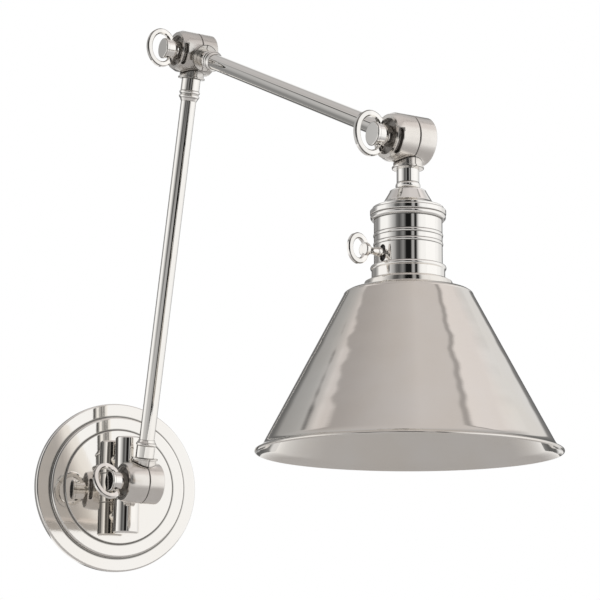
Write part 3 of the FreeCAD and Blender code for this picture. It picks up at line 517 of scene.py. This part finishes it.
def satin_nickel(name, tone, centre, boss_way):
    """Soft nickel over a casting: broad clouds and a fine grain, with painted shade: dark lines
    in the seam and round the boss, a dark slot, and a dark recess whose wall is a lighter grey
    of little metal."""
    finish = Finish(name)
    cloud = finish.noise(55.0, 5.0)
    grain = finish.noise(1400.0, 2.0)
    colour = finish.mix((cloud * 1.7 - 0.35).held(), tone, scaled(tone, 0.88, 0.86, 0.84))
    level = finish.along(centre, knob_way)
    taper = (KNUCKLE_RAD - COLLAR_RAD) / (COLLAR_FRONT - KNUCKLE_HALF)
    skin = KNUCKLE_RAD - (level - KNUCKLE_HALF) * taper
    from_axis = finish.around(centre, knob_way)
    # Painted shade: inside the collar's recess, at the boss's root and lip, in the seam and in
    # the slot the colour is made dark.
    under = ((skin - from_axis - 0.35) * 4).held()
    knuckle_shade_mask = (under * ((level - KNUCKLE_HALF + 0.2) * 5).held()
           * ((COLLAR_FRONT - 0.1 - level) * 0.8).held())
    root = finish.crease_shade(from_axis, (KNUCKLE_RAD + 0.6,), 0.45)
    from_boss = finish.around(centre, boss_way)
    height = finish.along(centre, boss_way)
    lip = (finish.crease_shade(height, (LIP_START,), 0.3) * ((BOSS_RAD + 0.5 - from_boss) * 4).held()
           + finish.crease_shade(height, (BOSS_END,), 0.3) * ((from_boss - LIP_RAD + 0.6) * 4).held())
    seam = finish.crease_shade(level, (SEAM - 0.1,), 0.65)
    knuckle_shade_mask = (knuckle_shade_mask + root + lip + seam).held()
    wall = (((from_axis - (RECESS_RAD - 1.0)) * 2).held()
            * ((RECESS_RAD + 0.3 - from_axis) * 6).held())
    # Painted shade tones: darkest in the slot and seam, dark on the recess floor, a lighter grey
    # of little metal on the recess wall.
    painted_shade_tone = finish.mix(((from_axis - (RECESS_RAD + 0.4)) * 6).held(), RECESS_SHADE_TONE,
                            SLOT_AND_SEAM_SHADE_TONE)
    colour = finish.mix(knuckle_shade_mask, colour, finish.mix(wall, painted_shade_tone, WALL_TONE))
    roughness = 0.15 + cloud * 0.08 + grain * 0.04 + knuckle_shade_mask * 0.4
    return finish.set(colour=colour, metallic=wall * knuckle_shade_mask * -0.8 + 1, roughness=roughness,
                      normal=finish.bump(grain * 0.2 + cloud, 0.00004, 0.35))


SLOT_WIDE, SLOT_HIGH, SLOT_TOOL_LONG, SLOT_TOOL_AT = 17.8, 3.0, 20.0, 20.0


def knuckle_boss(centre, way, room_on_knob_side):
    """The saddle boss that an arm screws into, hollowed to fit over the knuckle."""
    boss = lathe("boss", [(0, BOSS_START), (BOSS_RAD, BOSS_START), (BOSS_RAD, LIP_START),
                          (LIP_RAD, LIP_START), (LIP_RAD, BOSS_END), (0, BOSS_END)],
                 edge=0.25)
    settle(boss, centre, way, knob_way)
    room, root = KNUCKLE_RAD + SADDLE_GAP, KNUCKLE_RAD - 1.2
    low, high = (root, room) if room_on_knob_side else (room, root)
    hollow = lathe("hollow", [(0, -CUT_REACH), (low, -CUT_REACH), (low, SEAM), (high, SEAM),
                              (high, CUT_REACH), (0, CUT_REACH)], edge=0)
    settle(hollow, centre, knob_way, UP)
    tool_cut(boss, hollow)
    return boss


def slot_tool(long, wide, segments):
    """A bar with rounded edges, which cuts a slot with round ends."""
    bpy.ops.object.select_all(action="DESELECT")
    bpy.ops.mesh.primitive_cube_add(size=1)
    tool = bpy.context.object
    tool.scale = (long * MM, wide * MM, SLOT_TOOL_LONG * MM)
    bpy.ops.object.transform_apply(scale=True)
    bpy.ops.object.mode_set(mode="EDIT")
    bpy.ops.mesh.select_all(action="SELECT")
    bpy.ops.mesh.bevel(offset=wide * 0.49 * MM, segments=segments)
    bpy.ops.object.mode_set(mode="OBJECT")
    return tool


def half_a(tone, centre, boss_way, slot_way, body, node):
    """The knob-side half, coned to its collar, with its slot and recess."""
    half = lathe(node + "_piece", [
        (SPIGOT_RAD + RUNNING, SEAM), (KNUCKLE_RAD - KNUCKLE_EDGE, SEAM),
        (KNUCKLE_RAD, SEAM + KNUCKLE_EDGE), (KNUCKLE_RAD, KNUCKLE_HALF),
        (COLLAR_RAD, COLLAR_FRONT), (RECESS_RAD, COLLAR_FRONT),
        (RECESS_RAD, RECESS_FLOOR), (SPIGOT_RAD + RUNNING, RECESS_FLOOR),
        (SPIGOT_RAD + RUNNING, SEAM)], edge=0.25)
    settle(half, centre, knob_way, UP)
    if boss_way:
        tool_cut(half, knuckle_boss(centre, boss_way, False), "UNION")
    middle_of_slot = centre + knob_way * ((KNUCKLE_HALF + COLLAR_FRONT) / 2 * MM)
    slot = slot_tool(SLOT_WIDE, SLOT_HIGH, 6)
    settle(slot, middle_of_slot + slot_way * (SLOT_TOOL_AT * MM), slot_way,
           knob_way.cross(slot_way))
    tool_cut(half, slot)
    smooth(half)
    finish_piece(half, satin_nickel(node + "_nickel", tone, centre, boss_way or OUT),
                 body, "satin_nickel", node)


def half_b(tone, centre, boss_way, body, node):
    """The plain half with the spigot that turns in half A."""
    face = SEAM - 0.08
    half = lathe(node + "_piece", [
        (0, -KNUCKLE_HALF), (KNUCKLE_RAD - KNUCKLE_EDGE, -KNUCKLE_HALF),
        (KNUCKLE_RAD, KNUCKLE_EDGE - KNUCKLE_HALF), (KNUCKLE_RAD, face - KNUCKLE_EDGE),
        (KNUCKLE_RAD - KNUCKLE_EDGE, face), (SPIGOT_RAD, face), (SPIGOT_RAD, SPIGOT_END),
        (STEM_RAD + RUNNING, SPIGOT_END), (STEM_RAD + RUNNING, STEM_END - 1),
        (0, STEM_END - 1)], edge=0.25)
    settle(half, centre, knob_way, UP)
    tool_cut(half, knuckle_boss(centre, boss_way, True), "UNION")
    smooth(half)
    finish_piece(half, satin_nickel(node + "_nickel", tone, centre, boss_way),
                 body, "satin_nickel", node)


half_a(SATIN_TONE, base_at, None, -arm_way, "swing", "base_half_a")
half_b(SATIN_TONE, base_at, lower_way, "lower_arm", "base_half_b")
# The elbow's halves take the darker copy of the satin tone, as painted shade.
half_a(SHADED_SATIN_TONE, elbow_at, upper_way, upper_way, "upper_arm", "elbow_half_a")
half_b(SHADED_SATIN_TONE, elbow_at, -lower_way, "lower_arm", "elbow_half_b")
half_a(SATIN_TONE, head_at, -upper_way, upper_way, "upper_arm", "head_half_a")
half_b(SATIN_TONE, head_at, head_way, "head", "head_half_b")
# The washers sit in the recesses and take a darker copy of the plated steel: painted shade.
dark_steel = plated_steel("dark_steel", (0.34, 0.32, 0.30))
plate_solids(dark_steel, "base_washer", "elbow_washer", "head_washer")

# -------------------------------------------------------------------------- clamp knobs
# A turned knob threads into half B and pinches the washer.  Its flat oval eye is made
# in one with it, polished and plated.
NECK_RAD, KNOB_SEAT = 7.7, 13.85
BUTTON_START, BUTTON_END, BUTTON_RAD = 27.0, 29.6, 8.4
EYE_CENTRE, EYE_ACROSS, EYE_ALONG, EYE_BAND, EYE_THICK = 30.8, 16.1, 13.0, 4.4, 4.0
EYE_BEVEL = 0.22


def oval_eye(name, half_across, half_along, band, thick):
    """A flat oval ring of even width, chamfered: narrower in X, half_across in Y."""
    corners = [(-band / 2, -thick / 2), (band / 2, -thick / 2), (band / 2, thick / 2),
               (-band / 2, thick / 2), (-band / 2, -thick / 2)]
    middle_rad = half_across - band / 2
    ring = lathe(name, [(middle_rad + across, up) for across, up in corners],
                 edge=thick * EYE_BEVEL, segments=1)
    squeeze = half_across - half_along
    for point in ring.data.vertices:
        reach = math.hypot(point.co.x, point.co.y)
        point.co.x *= 1 - squeeze * MM / reach
    return ring


def eyed_nickel(name, at, way, through, eye_start, thick, rad, marks):
    """Nickel with painted shade in dark lines at its turned edges and along the chamfers of its
    eye.
    """
    def shade_lines(finish):
        reach = finish.along(at, way)
        on_eye = ((reach - eye_start - 1.0) * 0.5).held()
        turned = finish.crease_shade(reach, marks, 0.35)
        turned = turned * ((rad + 0.4 - finish.around(at, way)) * 4).held()
        from_face = finish.along(at, through)
        bevel = thick * (0.5 - EYE_BEVEL / 2)
        sides = (finish.crease_shade(from_face, (-bevel,), thick * EYE_BEVEL * 0.55)
                 + finish.crease_shade(from_face, (bevel,), thick * EYE_BEVEL * 0.55))
        return (turned + sides * on_eye).held()
    return polished_nickel(name, NICKEL_TONE, shade_lines)


def clamp_knob(name, centre, eye_across, body, node):
    """A knob and its eye in one; eye_across is the way of the eye's long side."""
    knob = lathe(name, [
        (0, STEM_END), (STEM_RAD, STEM_END), (STEM_RAD, KNOB_SEAT), (NECK_RAD, KNOB_SEAT),
        (NECK_RAD, BUTTON_START), (BUTTON_RAD, BUTTON_START), (BUTTON_RAD, BUTTON_END - 1.0),
        (BUTTON_RAD - 1.0, BUTTON_END, 0.3), (0, BUTTON_END)], edge=0.15)
    settle(knob, centre, knob_way, eye_across)
    eye = oval_eye(name + "_eye", EYE_ACROSS, EYE_ALONG, EYE_BAND, EYE_THICK)
    through = eye_across.cross(knob_way).normalized()
    settle(eye, centre + knob_way * (EYE_CENTRE * MM), through, knob_way)
    tool_cut(knob, eye, "UNION")
    smooth(knob)
    edged = eyed_nickel(node + "_nickel", centre, knob_way, through, BUTTON_END, EYE_THICK,
                        BUTTON_RAD, (BUTTON_START, BUTTON_END - 0.5))
    finish_piece(knob, edged, body, "polished_nickel", node)


BASE_EYE_LEAN = -0.45
base_eye_way = (UP + arm_way * BASE_EYE_LEAN).normalized()
clamp_knob("base_knob_piece", base_at, base_eye_way, "base_clamp", "base_knob")
clamp_knob("elbow_knob_piece", elbow_at, UP, "elbow_clamp", "elbow_knob")
clamp_knob("head_knob_piece", head_at, UP, "head_clamp", "head_knob")

# ---------------------------------------------------------------- arm collars and tubes
# Half-inch tubes, polished and plated, are let into turned collars that screw into the
# knuckles' bosses.  Each collar has one or two small beads.
TUBE_RAD, TUBE_START, TUBE_WALL = 6.35, 30.0, 1.2
ARM_NECK_RAD, ARM_NECK_END, PEG_RAD, PEG_START = 7.75, 31.0, 5.0, 18.0
BEAD_WIDE, BEAD_RISE, BEAD_SPACE, COLLAR_TAIL = 2.6, 0.75, 0.8, 2.6


def arm_collar(name, beads, centre, way, body):
    """A turned collar with its peg in the boss, a neck, its beads and the tube's seat."""
    steps = [(0, PEG_START), (PEG_RAD, PEG_START), (PEG_RAD, BOSS_END),
             (ARM_NECK_RAD, BOSS_END), (ARM_NECK_RAD, ARM_NECK_END)]
    height = ARM_NECK_END
    marks = [BOSS_END + 0.2, height]
    for bead in range(beads):
        height += BEAD_WIDE
        steps.append((ARM_NECK_RAD, height, BEAD_RISE))
        marks.append(height)
        if bead + 1 < beads:
            steps += [(ARM_NECK_RAD - 0.35, height + 0.1),
                      (ARM_NECK_RAD - 0.35, height + BEAD_SPACE - 0.1),
                      (ARM_NECK_RAD, height + BEAD_SPACE)]
            height += BEAD_SPACE
    height += COLLAR_TAIL
    marks.append(height)
    steps += [(TUBE_RAD + 0.15, height), (TUBE_RAD - 0.3, height)]
    collar = lathe(name + "_piece", steps + [(TUBE_RAD - 0.3, TUBE_START), (0, TUBE_START)],
                   edge=0.12)
    settle(collar, centre, way, knob_way)
    # Painted shade in dark lines at the collar's steps and beads.
    marked = polished_nickel(name + "_nickel", NICKEL_TONE, lambda finish: finish.crease_shade(
        finish.along(centre, way), marks, 0.35))
    finish_piece(collar, marked, body, "polished_nickel", name)


def arm_tube(name, start_at, end_at, body):
    length = (end_at - start_at).length / MM
    far_end = length - TUBE_START
    tube = lathe(name + "_piece", [
        (TUBE_RAD - TUBE_WALL, TUBE_START), (TUBE_RAD, TUBE_START), (TUBE_RAD, far_end),
        (TUBE_RAD - TUBE_WALL, far_end), (TUBE_RAD - TUBE_WALL, TUBE_START)], edge=0)
    settle(tube, start_at, (end_at - start_at).normalized(), knob_way)
    finish_piece(tube, nickel, body, "polished_nickel", name)


arm_collar("lower_base_collar", 1, base_at, lower_way, "lower_arm")
arm_tube("lower_tube", base_at, elbow_at, "lower_arm")
arm_collar("lower_elbow_collar", 2, elbow_at, -lower_way, "lower_arm")
arm_collar("upper_elbow_collar", 2, elbow_at, upper_way, "upper_arm")
arm_tube("upper_tube", elbow_at, head_at, "upper_arm")
arm_collar("upper_head_collar", 2, head_at, -upper_way, "upper_arm")

# ----------------------------------------------------------------- head collar and cap
# The head hangs from the last knuckle by a turned collar.  Below it the spun cap opens
# out from a flat top to a rolled bead that grips the socket shell.
SHELL_RAD, SHELL_IN = 23.4, 22.3
CAP_TOP, CAP_END, CAP_BEAD, CAP_ROOT, CAP_WALL = 36.5, 57.4, 50.2, 24.8, 1.6
SHELL_END, RIM_BEAD_END, RIM_ROOT, SHADE_TOP = 89.2, 92.4, 25.0, 99.0
LINE_A, LINE_B, LINE_WIDE, LINE_RISE = 67.0, 73.1, 2.4, 0.45


# Painted shade in narrow dark lines at the head collar's bead, the cap's bead and ends, the
# shell's rolled lines and its end.
def head_crease_shade(finish):
    return finish.crease_shade(finish.along(head_at, head_way), (
        ARM_NECK_END, ARM_NECK_END + 4.2, CAP_BEAD - 0.2, 54.1, CAP_END, LINE_A,
        LINE_A + LINE_WIDE, LINE_B, LINE_B + LINE_WIDE, SHELL_END), 0.4)


head_nickel = polished_nickel("head_nickel", NICKEL_TONE, head_crease_shade)
head_collar = lathe("head_collar_piece", [
    (0, PEG_START), (PEG_RAD, PEG_START), (PEG_RAD, BOSS_END), (ARM_NECK_RAD, BOSS_END),
    (ARM_NECK_RAD, ARM_NECK_END), (ARM_NECK_RAD, ARM_NECK_END + 4.1, 0.8),
    (ARM_NECK_RAD - 0.3, ARM_NECK_END + 4.3), (ARM_NECK_RAD - 0.3, CAP_TOP),
    (PEG_RAD, CAP_TOP), (PEG_RAD, CAP_TOP + CAP_WALL), (0, CAP_TOP + CAP_WALL)], edge=0.12)
settle(head_collar, head_at, head_way, key_way)
finish_piece(head_collar, head_nickel, "head", "polished_nickel", "head_collar")
cap = lathe("socket_cap_piece", [
    (PEG_RAD, CAP_TOP + CAP_WALL), (PEG_RAD, CAP_TOP), (12.0, CAP_TOP),
    (12.6, CAP_TOP + 0.9, 0.2),
    (16.6, 44.3), (17.4, 45.3, -0.15), (22.6, 48.0, -0.25), (24.3, 48.6, 0.2),
    (24.5, 49.9), (25.1, CAP_BEAD, -0.1), (26.0, 50.9, 0.15), (26.0, 53.2),
    (25.2, 54.0, 0.2), (25.2, 56.8, 0.6), (CAP_ROOT, CAP_END, -0.1),
    (SHELL_IN, CAP_END), (SHELL_IN, 51.8), (15.5, 46.1), (11, CAP_TOP + CAP_WALL),
    (PEG_RAD, CAP_TOP + CAP_WALL)], edge=0.08)
settle(cap, head_at, head_way, key_way)
finish_piece(cap, head_nickel, "head", "polished_nickel", "socket_cap")

# -------------------------------------------------------------------------- socket shell
# A drawn brass shell, nickel plated, with two fine rolled lines and an upright slot for
# the key.  Below it a rolled rim carries the shade.
KEY_SLOT_LONG, KEY_SLOT_WIDE, KEY_SLOT_AT = 11.8, 5.4, 24.0
shell = lathe("socket_shell_piece", [
    (SHELL_IN, CAP_END), (SHELL_RAD, CAP_END), (SHELL_RAD, LINE_A),
    (SHELL_RAD, LINE_A + LINE_WIDE, LINE_RISE), (SHELL_RAD, LINE_B),
    (SHELL_RAD, LINE_B + LINE_WIDE, LINE_RISE), (SHELL_RAD, SHELL_END),
    (SHELL_IN, SHELL_END), (SHELL_IN, CAP_END)], edge=0.08)
settle(shell, head_at, head_way, key_way)
key_slot = slot_tool(KEY_SLOT_LONG, KEY_SLOT_WIDE, 8)
settle(key_slot, key_at + key_way * (KEY_SLOT_AT * MM), key_way, head_way)
tool_cut(shell, key_slot)
smooth(shell)
finish_piece(shell, head_nickel, "head", "polished_nickel", "socket_shell")
rim = lathe("socket_rim_piece", [
    (SHELL_IN, SHELL_END), (RIM_ROOT, SHELL_END), (RIM_ROOT, RIM_BEAD_END, 0.9),
    (RIM_ROOT, SHADE_TOP), (SHELL_IN, SHADE_TOP), (SHELL_IN, SHELL_END)], edge=0.1)
settle(rim, head_at, head_way, key_way)
finish_piece(rim, head_nickel, "head", "polished_nickel", "socket_rim")

# ---------------------------------------------------------------- socket inside the shell
# A black moulded body holds the brass screw shell, whose thread is rolled in, and the
# sprung contact at its floor.  A ring nut on the body's neck clamps the shade.

def moulded(name, tone):
    """Black moulding compound, slightly mottled and satin."""
    finish = Finish(name)
    mottle = finish.noise(220.0, 4.0)
    colour = finish.mix(mottle.held(), tone, scaled(tone, 1.8))
    return finish.set(colour=colour, metallic=0.0, roughness=0.42 + mottle * 0.15,
                      normal=finish.bump(mottle, 0.00003, 0.4))


def bare_brass(name, tone):
    """Bare brass, dulled in clouds."""
    finish = Finish(name)
    tarnish = finish.noise(90.0, 4.0)
    colour = finish.mix((tarnish * 1.8 - 0.5).held(), tone, scaled(tone, 0.7, 0.62, 0.5))
    return finish.set(colour=colour, metallic=1.0, roughness=0.2 + tarnish * 0.2,
                      normal=finish.bump(tarnish, 0.00003, 0.4))


phenolic = moulded("phenolic", (0.018, 0.016, 0.015))
brass = bare_brass("bare_brass", (0.83, 0.62, 0.30))
SOCKET_END, SOCKET_FLOOR, SOCKET_NECK = 108.0, 86.0, 21.4
SCREW_RAD, SCREW_END, THREAD_PITCH, THREAD_DEEP = 14.1, 107.2, 3.63, 0.45
body = lathe("socket_body_piece", [
    (0, CAP_END), (SHELL_IN - 0.1, CAP_END), (SHELL_IN - 0.1, SHADE_TOP),
    (SOCKET_NECK, SHADE_TOP), (SOCKET_NECK, SOCKET_END), (SCREW_RAD, SOCKET_END),
    (SCREW_RAD, SOCKET_FLOOR), (0, SOCKET_FLOOR)], edge=0.4)
settle(body, head_at, head_way, key_way)
finish_piece(body, phenolic, "head", "phenolic", "socket_body")
SCREW_START, SCREW_WALL = 89.0, 0.7
turn_height = SCREW_START + 1.0
thread = [(SCREW_RAD - SCREW_WALL, SCREW_START), (SCREW_RAD, SCREW_START),
          (SCREW_RAD, SCREW_END), (SCREW_RAD - SCREW_WALL, SCREW_END)]
turns = int((SCREW_END - turn_height) / THREAD_PITCH)
for turn in range(turns, 0, -1):
    crest = turn_height + turn * THREAD_PITCH
    thread += [(SCREW_RAD - SCREW_WALL, crest),
               (SCREW_RAD - SCREW_WALL, crest - THREAD_PITCH * 0.6, -THREAD_DEEP)]
thread.append((SCREW_RAD - SCREW_WALL, SCREW_START))
screw_shell = lathe("screw_shell_piece", thread, edge=0)
settle(screw_shell, head_at, head_way, key_way)
finish_piece(screw_shell, brass, "head", "brass", "screw_shell")
CONTACT_RAD, CONTACT_TIP = 6.0, 2.8
contact = lathe("contact_piece", [
    (0, SOCKET_FLOOR), (CONTACT_RAD, SOCKET_FLOOR), (CONTACT_RAD, SOCKET_FLOOR + 0.8),
    (CONTACT_TIP, SOCKET_FLOOR + 0.8), (0, SOCKET_FLOOR + 1.6, 0.35)], edge=0.1)
settle(contact, head_at, head_way, key_way)
finish_piece(contact, brass, "head", "brass", "centre_contact")

# -------------------------------------------------------------------------------- shade
# The shade is spun from sheet metal: a small collar, a shallow shoulder, a straight cone
# and a flared lip with a rolled edge.  It is plated and polished inside and out.

def spun_nickel(name, tone, axis_at, axis_way):
    """Nickel over spun metal: the spinning tool's fine rings and slow waves round it."""
    finish = Finish(name)
    down = finish.along(axis_at, axis_way)
    rings = finish.value(finish.node("ShaderNodeTexNoise", {"noise_dimensions": "1D"}, {
        "W": down, "Scale": 1.4, "Detail": 3.0}).outputs["Fac"])
    waves = finish.value(finish.node("ShaderNodeTexNoise", {"noise_dimensions": "1D"}, {
        "W": down, "Scale": 0.05, "Detail": 1.0}).outputs["Fac"])
    dents = finish.noise(34.0, 1.0)
    cloud = finish.noise(24.0, 4.0)
    colour = finish.mix((cloud * 1.6 - 0.3).held(), tone, scaled(tone, 0.96, 0.93, 0.89))
    roughness = 0.035 + cloud * 0.03 + rings * 0.03
    spun = finish.bump(rings, 0.000008, 0.5)
    waved = finish.node("ShaderNodeBump", None, {
        "Height": waves + dents * 0.3, "Distance": 0.0008, "Strength": 0.5, "Normal": spun})
    return finish.set(colour=colour, metallic=1.0, roughness=roughness,
                      normal=waved.outputs["Normal"])


shade_nickel = spun_nickel("shade_nickel", (0.81, 0.785, 0.75), head_at, head_way)
SHADE_WALL = 0.9
shade = lathe("shade_piece", [
    (SOCKET_NECK, SHADE_TOP), (27.0, SHADE_TOP), (29.6, 100.4, -0.3), (30.0, 101.2),
    (30.0, 103.6), (30.8, 104.6, -0.25), (39.8, 106.6), (42.8, 107.9, 0.3),
    (44.2, 109.8, 0.3), (97.2, 210.2), (102.0, 214.9, -0.6), (102.3, 215.0),
    (102.3, 217.2, 1.05), (101.2, 216.2), (96.4, 211.1, 0.6), (43.3, 110.4),
    (42.0, 108.6, -0.3), (39.6, 107.6, -0.2), (30.4, 105.5), (29.1, 104.2, 0.25),
    (29.1, 101.9), (26.4, SHADE_TOP + SHADE_WALL), (SOCKET_NECK, SHADE_TOP + SHADE_WALL),
    (SOCKET_NECK, SHADE_TOP)], edge=0, rounds=256)
settle(shade, head_at, head_way, key_way)
finish_piece(shade, shade_nickel, "head", "shade_nickel", "shade")
NUT_START, NUT_RAD, NUT_THICK = SHADE_TOP + SHADE_WALL, 25.4, 3.6
ring_nut = lathe("ring_nut_piece", [
    (SOCKET_NECK, NUT_START), (NUT_RAD, NUT_START), (NUT_RAD, NUT_START + NUT_THICK),
    (SOCKET_NECK, NUT_START + NUT_THICK), (SOCKET_NECK, NUT_START)], edge=0.3)
settle(ring_nut, head_at, head_way, key_way)
finish_piece(ring_nut, nickel, "head", "polished_nickel", "shade_ring_nut")

# ----------------------------------------------------------------------------- turn key
# The switch's key: a ball collar against the shell, a waist that opens to a small
# button, and a flat oval eye, cast in one and plated.
BALL_START, BALL_LEN, BALL_RAD = 24.0, 4.6, 3.4
KEY_STEM, KEY_STEM_START, KEY_WAIST, KEY_BUTTON = 2.7, 8.0, 2.8, 4.6
KEY_BUTTON_START, KEY_BUTTON_END = 37.5, 40.7
KEY_EYE_CENTRE, KEY_EYE_ACROSS, KEY_EYE_ALONG = 45.2, 10.6, 9.0
KEY_EYE_BAND, KEY_EYE_THICK = 4.0, 3.2
key = lathe("turn_key_piece", [
    (0, KEY_STEM_START), (KEY_STEM, KEY_STEM_START), (KEY_STEM, BALL_START),
    (KEY_WAIST, BALL_START + BALL_LEN, BALL_RAD - KEY_STEM),
    (KEY_WAIST, BALL_START + BALL_LEN + 1.5), (KEY_BUTTON, KEY_BUTTON_START, -1.2),
    (KEY_BUTTON, KEY_BUTTON_END - 0.6), (KEY_BUTTON - 0.8, KEY_BUTTON_END, 0.2),
    (0, KEY_BUTTON_END)], edge=0.1, rounds=64)
settle(key, key_at, key_way, head_way)
key_eye = oval_eye("key_eye", KEY_EYE_ACROSS, KEY_EYE_ALONG, KEY_EYE_BAND, KEY_EYE_THICK)
key_through = head_way.cross(key_way).normalized()
settle(key_eye, key_at + key_way * (KEY_EYE_CENTRE * MM), key_through, key_way)
tool_cut(key, key_eye, "UNION")
smooth(key)
key_nickel = eyed_nickel("key_nickel", key_at, key_way, key_through, KEY_BUTTON_END,
                         KEY_EYE_THICK, KEY_BUTTON, (
                             BALL_START, BALL_START + BALL_LEN, KEY_BUTTON_START,
                             KEY_BUTTON_END - 0.5))
finish_piece(key, key_nickel, "key", "polished_nickel", "turn_key")

# --------------------------------------------------------------- floor, lights and world
# A pale floor well below the lamp, one weak soft lamp and a white room.  Polished metal
# shows the room: dark upright strips beside and behind the camera, a warm grey ceiling.
FLOOR_AT, FLOOR_NEAR, FLOOR_FADE, FLOOR_GLOW = -0.62, 0.9, 1.4, 0.7
lamp_middle = (cad_low + cad_high) / 2
bpy.ops.object.select_all(action="DESELECT")
bpy.ops.mesh.primitive_circle_add(
    vertices=96, radius=FLOOR_NEAR + FLOOR_FADE, fill_type="NGON",
    location=(lamp_middle.x, lamp_middle.y, FLOOR_AT))
floor = bpy.context.object
floor.name = "floor"
pale = Finish("pale_floor")
pale.set(colour=(0.80, 0.80, 0.80), roughness=0.9, metallic=0.0)
rays = pale.node("ShaderNodeLightPath").outputs
far = ((pale.around(Vector((0, 0, 0)), UP) * MM - FLOOR_NEAR) / FLOOR_FADE).held()
mirrored = (pale.value(rays["Is Glossy Ray"]) + pale.value(rays["Is Transmission Ray"])).held()
looked_at = pale.value(rays["Is Camera Ray"]) * (far * (1 - FLOOR_GLOW) + FLOOR_GLOW)
white = pale.node("ShaderNodeEmission", None, {"Color": grey(1.0), "Strength": 1.0})
faded = pale.mix_shader(mirrored * far + looked_at, pale.shader.outputs[0],
                        white.outputs[0])
from_below = pale.node("ShaderNodeNewGeometry").outputs["Backfacing"]
clear = pale.node("ShaderNodeBsdfTransparent").outputs[0]
pale.feed(pale.tree.nodes["Material Output"].inputs["Surface"],
          pale.mix_shader(from_below, faded, clear))
floor.data.materials.append(pale.material)
LAMP_AT, LAMP_WIDE, LAMP_POWER = Vector((1.7, -1.6, 0.9)), 1.6, 0.5
lamp_data = bpy.data.lights.new("right_softbox", "AREA")
lamp_data.size = LAMP_WIDE
lamp_data.energy = LAMP_POWER
lamp = bpy.data.objects.new("right_softbox", lamp_data)
bpy.context.collection.objects.link(lamp)
lamp.location = LAMP_AT
lamp.rotation_mode = "QUATERNION"
lamp.rotation_quaternion = (lamp_middle - LAMP_AT).to_track_quat("-Z", "Y")


def round_stops(stops):
    """Stops of a ramp that runs round the room, in degrees from the camera's side."""
    return [(0.5 + turn / 360, grey(level)) for turn, level in stops]


world = bpy.data.worlds.new("white_room")
bpy.context.scene.world = world
world.use_nodes = True
room = Nodes(world.node_tree)
room.tree.nodes.clear()
way = room.node("ShaderNodeTexCoord").outputs["Generated"]
to_camera = Vector((-forward.x, -forward.y, 0)).normalized()
ahead = room.dot(way, to_camera)
aside = room.dot(way, right)
height = room.dot(way, UP)
turn = aside.angle_over(ahead) / (2 * math.pi) + 0.5
walls = room.ramp(turn, round_stops((
    (-177, 0.9), (-172, 0.15), (-156, 0.14), (-148, 0.27), (-138, 0.27), (-128, 0.24),
    (-119, 0.42), (-113, 0.6), (-108, 1.0), (-78, 1.0), (-62, 0.64), (-48, 0.36),
    (-42, 0.15), (-32, 0.08), (-20, 0.25), (-14, 0.12), (-10, 0.01), (6, 0.01), (10, 0.4),
    (16, 0.4), (18, 0.02), (24, 0.02), (27, 0.4), (34, 0.9), (42, 1.0), (112, 1.0),
    (124, 0.84), (147, 0.8), (152, 0.25), (164, 0.15), (171, 0.12), (176, 0.9))))
low_walls = room.ramp(turn, round_stops((
    (-85, 1.0), (-62, 0.9), (-48, 0.66), (-26, 0.5), (-2, 0.4), (5, 0.36), (8, 0.0),
    (36, 0.0), (40, 0.5), (46, 1.0))))
low_ahead = ((height * -1 - 0.06) * 14).held() * (ahead * 8).held()
walls = room.mix(low_ahead, walls, low_walls)
ripple = (room.noise(3.5, 2.0, way) - 0.5) * 0.12
panel = aside / height.at_least(0.1) + ripple
ceiling = room.ramp(panel / 4 + 0.5, [
    (0.5 + across / 4, scaled(grey(level), 1, 0.955, 0.945)) for across, level in (
        (-0.91, 0.72), (-0.87, 0.44), (-0.45, 0.54), (-0.1, 0.62), (0.1, 0.68), (0.54, 0.68),
        (0.57, 0.42), (0.61, 0.42), (0.66, 0.88), (0.8, 0.86), (1.2, 0.84), (1.9, 0.9))])
HIGH_EDGE, LOW_EDGE, CORNICE_AT, CORNICE_HALF = 0.64, -0.55, 0.585, 0.06
above_walls = ((height - HIGH_EDGE) * 7 + 0.5).held()
below_walls = ((height * -1 + LOW_EDGE) * 7 + 0.5).held()
behind = (ahead * -3 - 0.6).held()
back_tone = room.mix((ahead * -3 - 1.7).held(), (0.54, 0.53, 0.53), (0.30, 0.295, 0.29))
glow = room.ramp(ahead + 1, [(back + 1, grey(level)) for back, level in (
    (-0.92, 0.7), (-0.86, 0.1), (-0.80, 0.1), (-0.74, 1.0), (-0.32, 1.0), (-0.2, 0.0))])
glow = room.value(glow) * ((height - 0.2) * 2.5).held() * (aside * -4).held()
upper = room.mix(above_walls, room.mix(glow, walls, grey(0.48)),
                 room.mix(behind, ceiling, back_tone))
from_cornice = (height - CORNICE_AT).unsigned()
cornice = ((CORNICE_HALF - from_cornice) * 30).held() * (ahead * 16 + 6.7).held()
cornice = cornice * (ahead * -9 - 0.6).held() * (aside * -4).held()
upper = room.mix(cornice * 0.9, upper, grey(0.06))
tone = room.mix(below_walls, upper, grey(0.55))
rays = room.node("ShaderNodeLightPath").outputs
shown = room.mix(rays["Is Camera Ray"], tone, grey(1.0))
light = room.node("ShaderNodeBackground", None, {0: shown, 1: 1.0})
room.node("ShaderNodeOutputWorld", None, {0: light.outputs[0]})
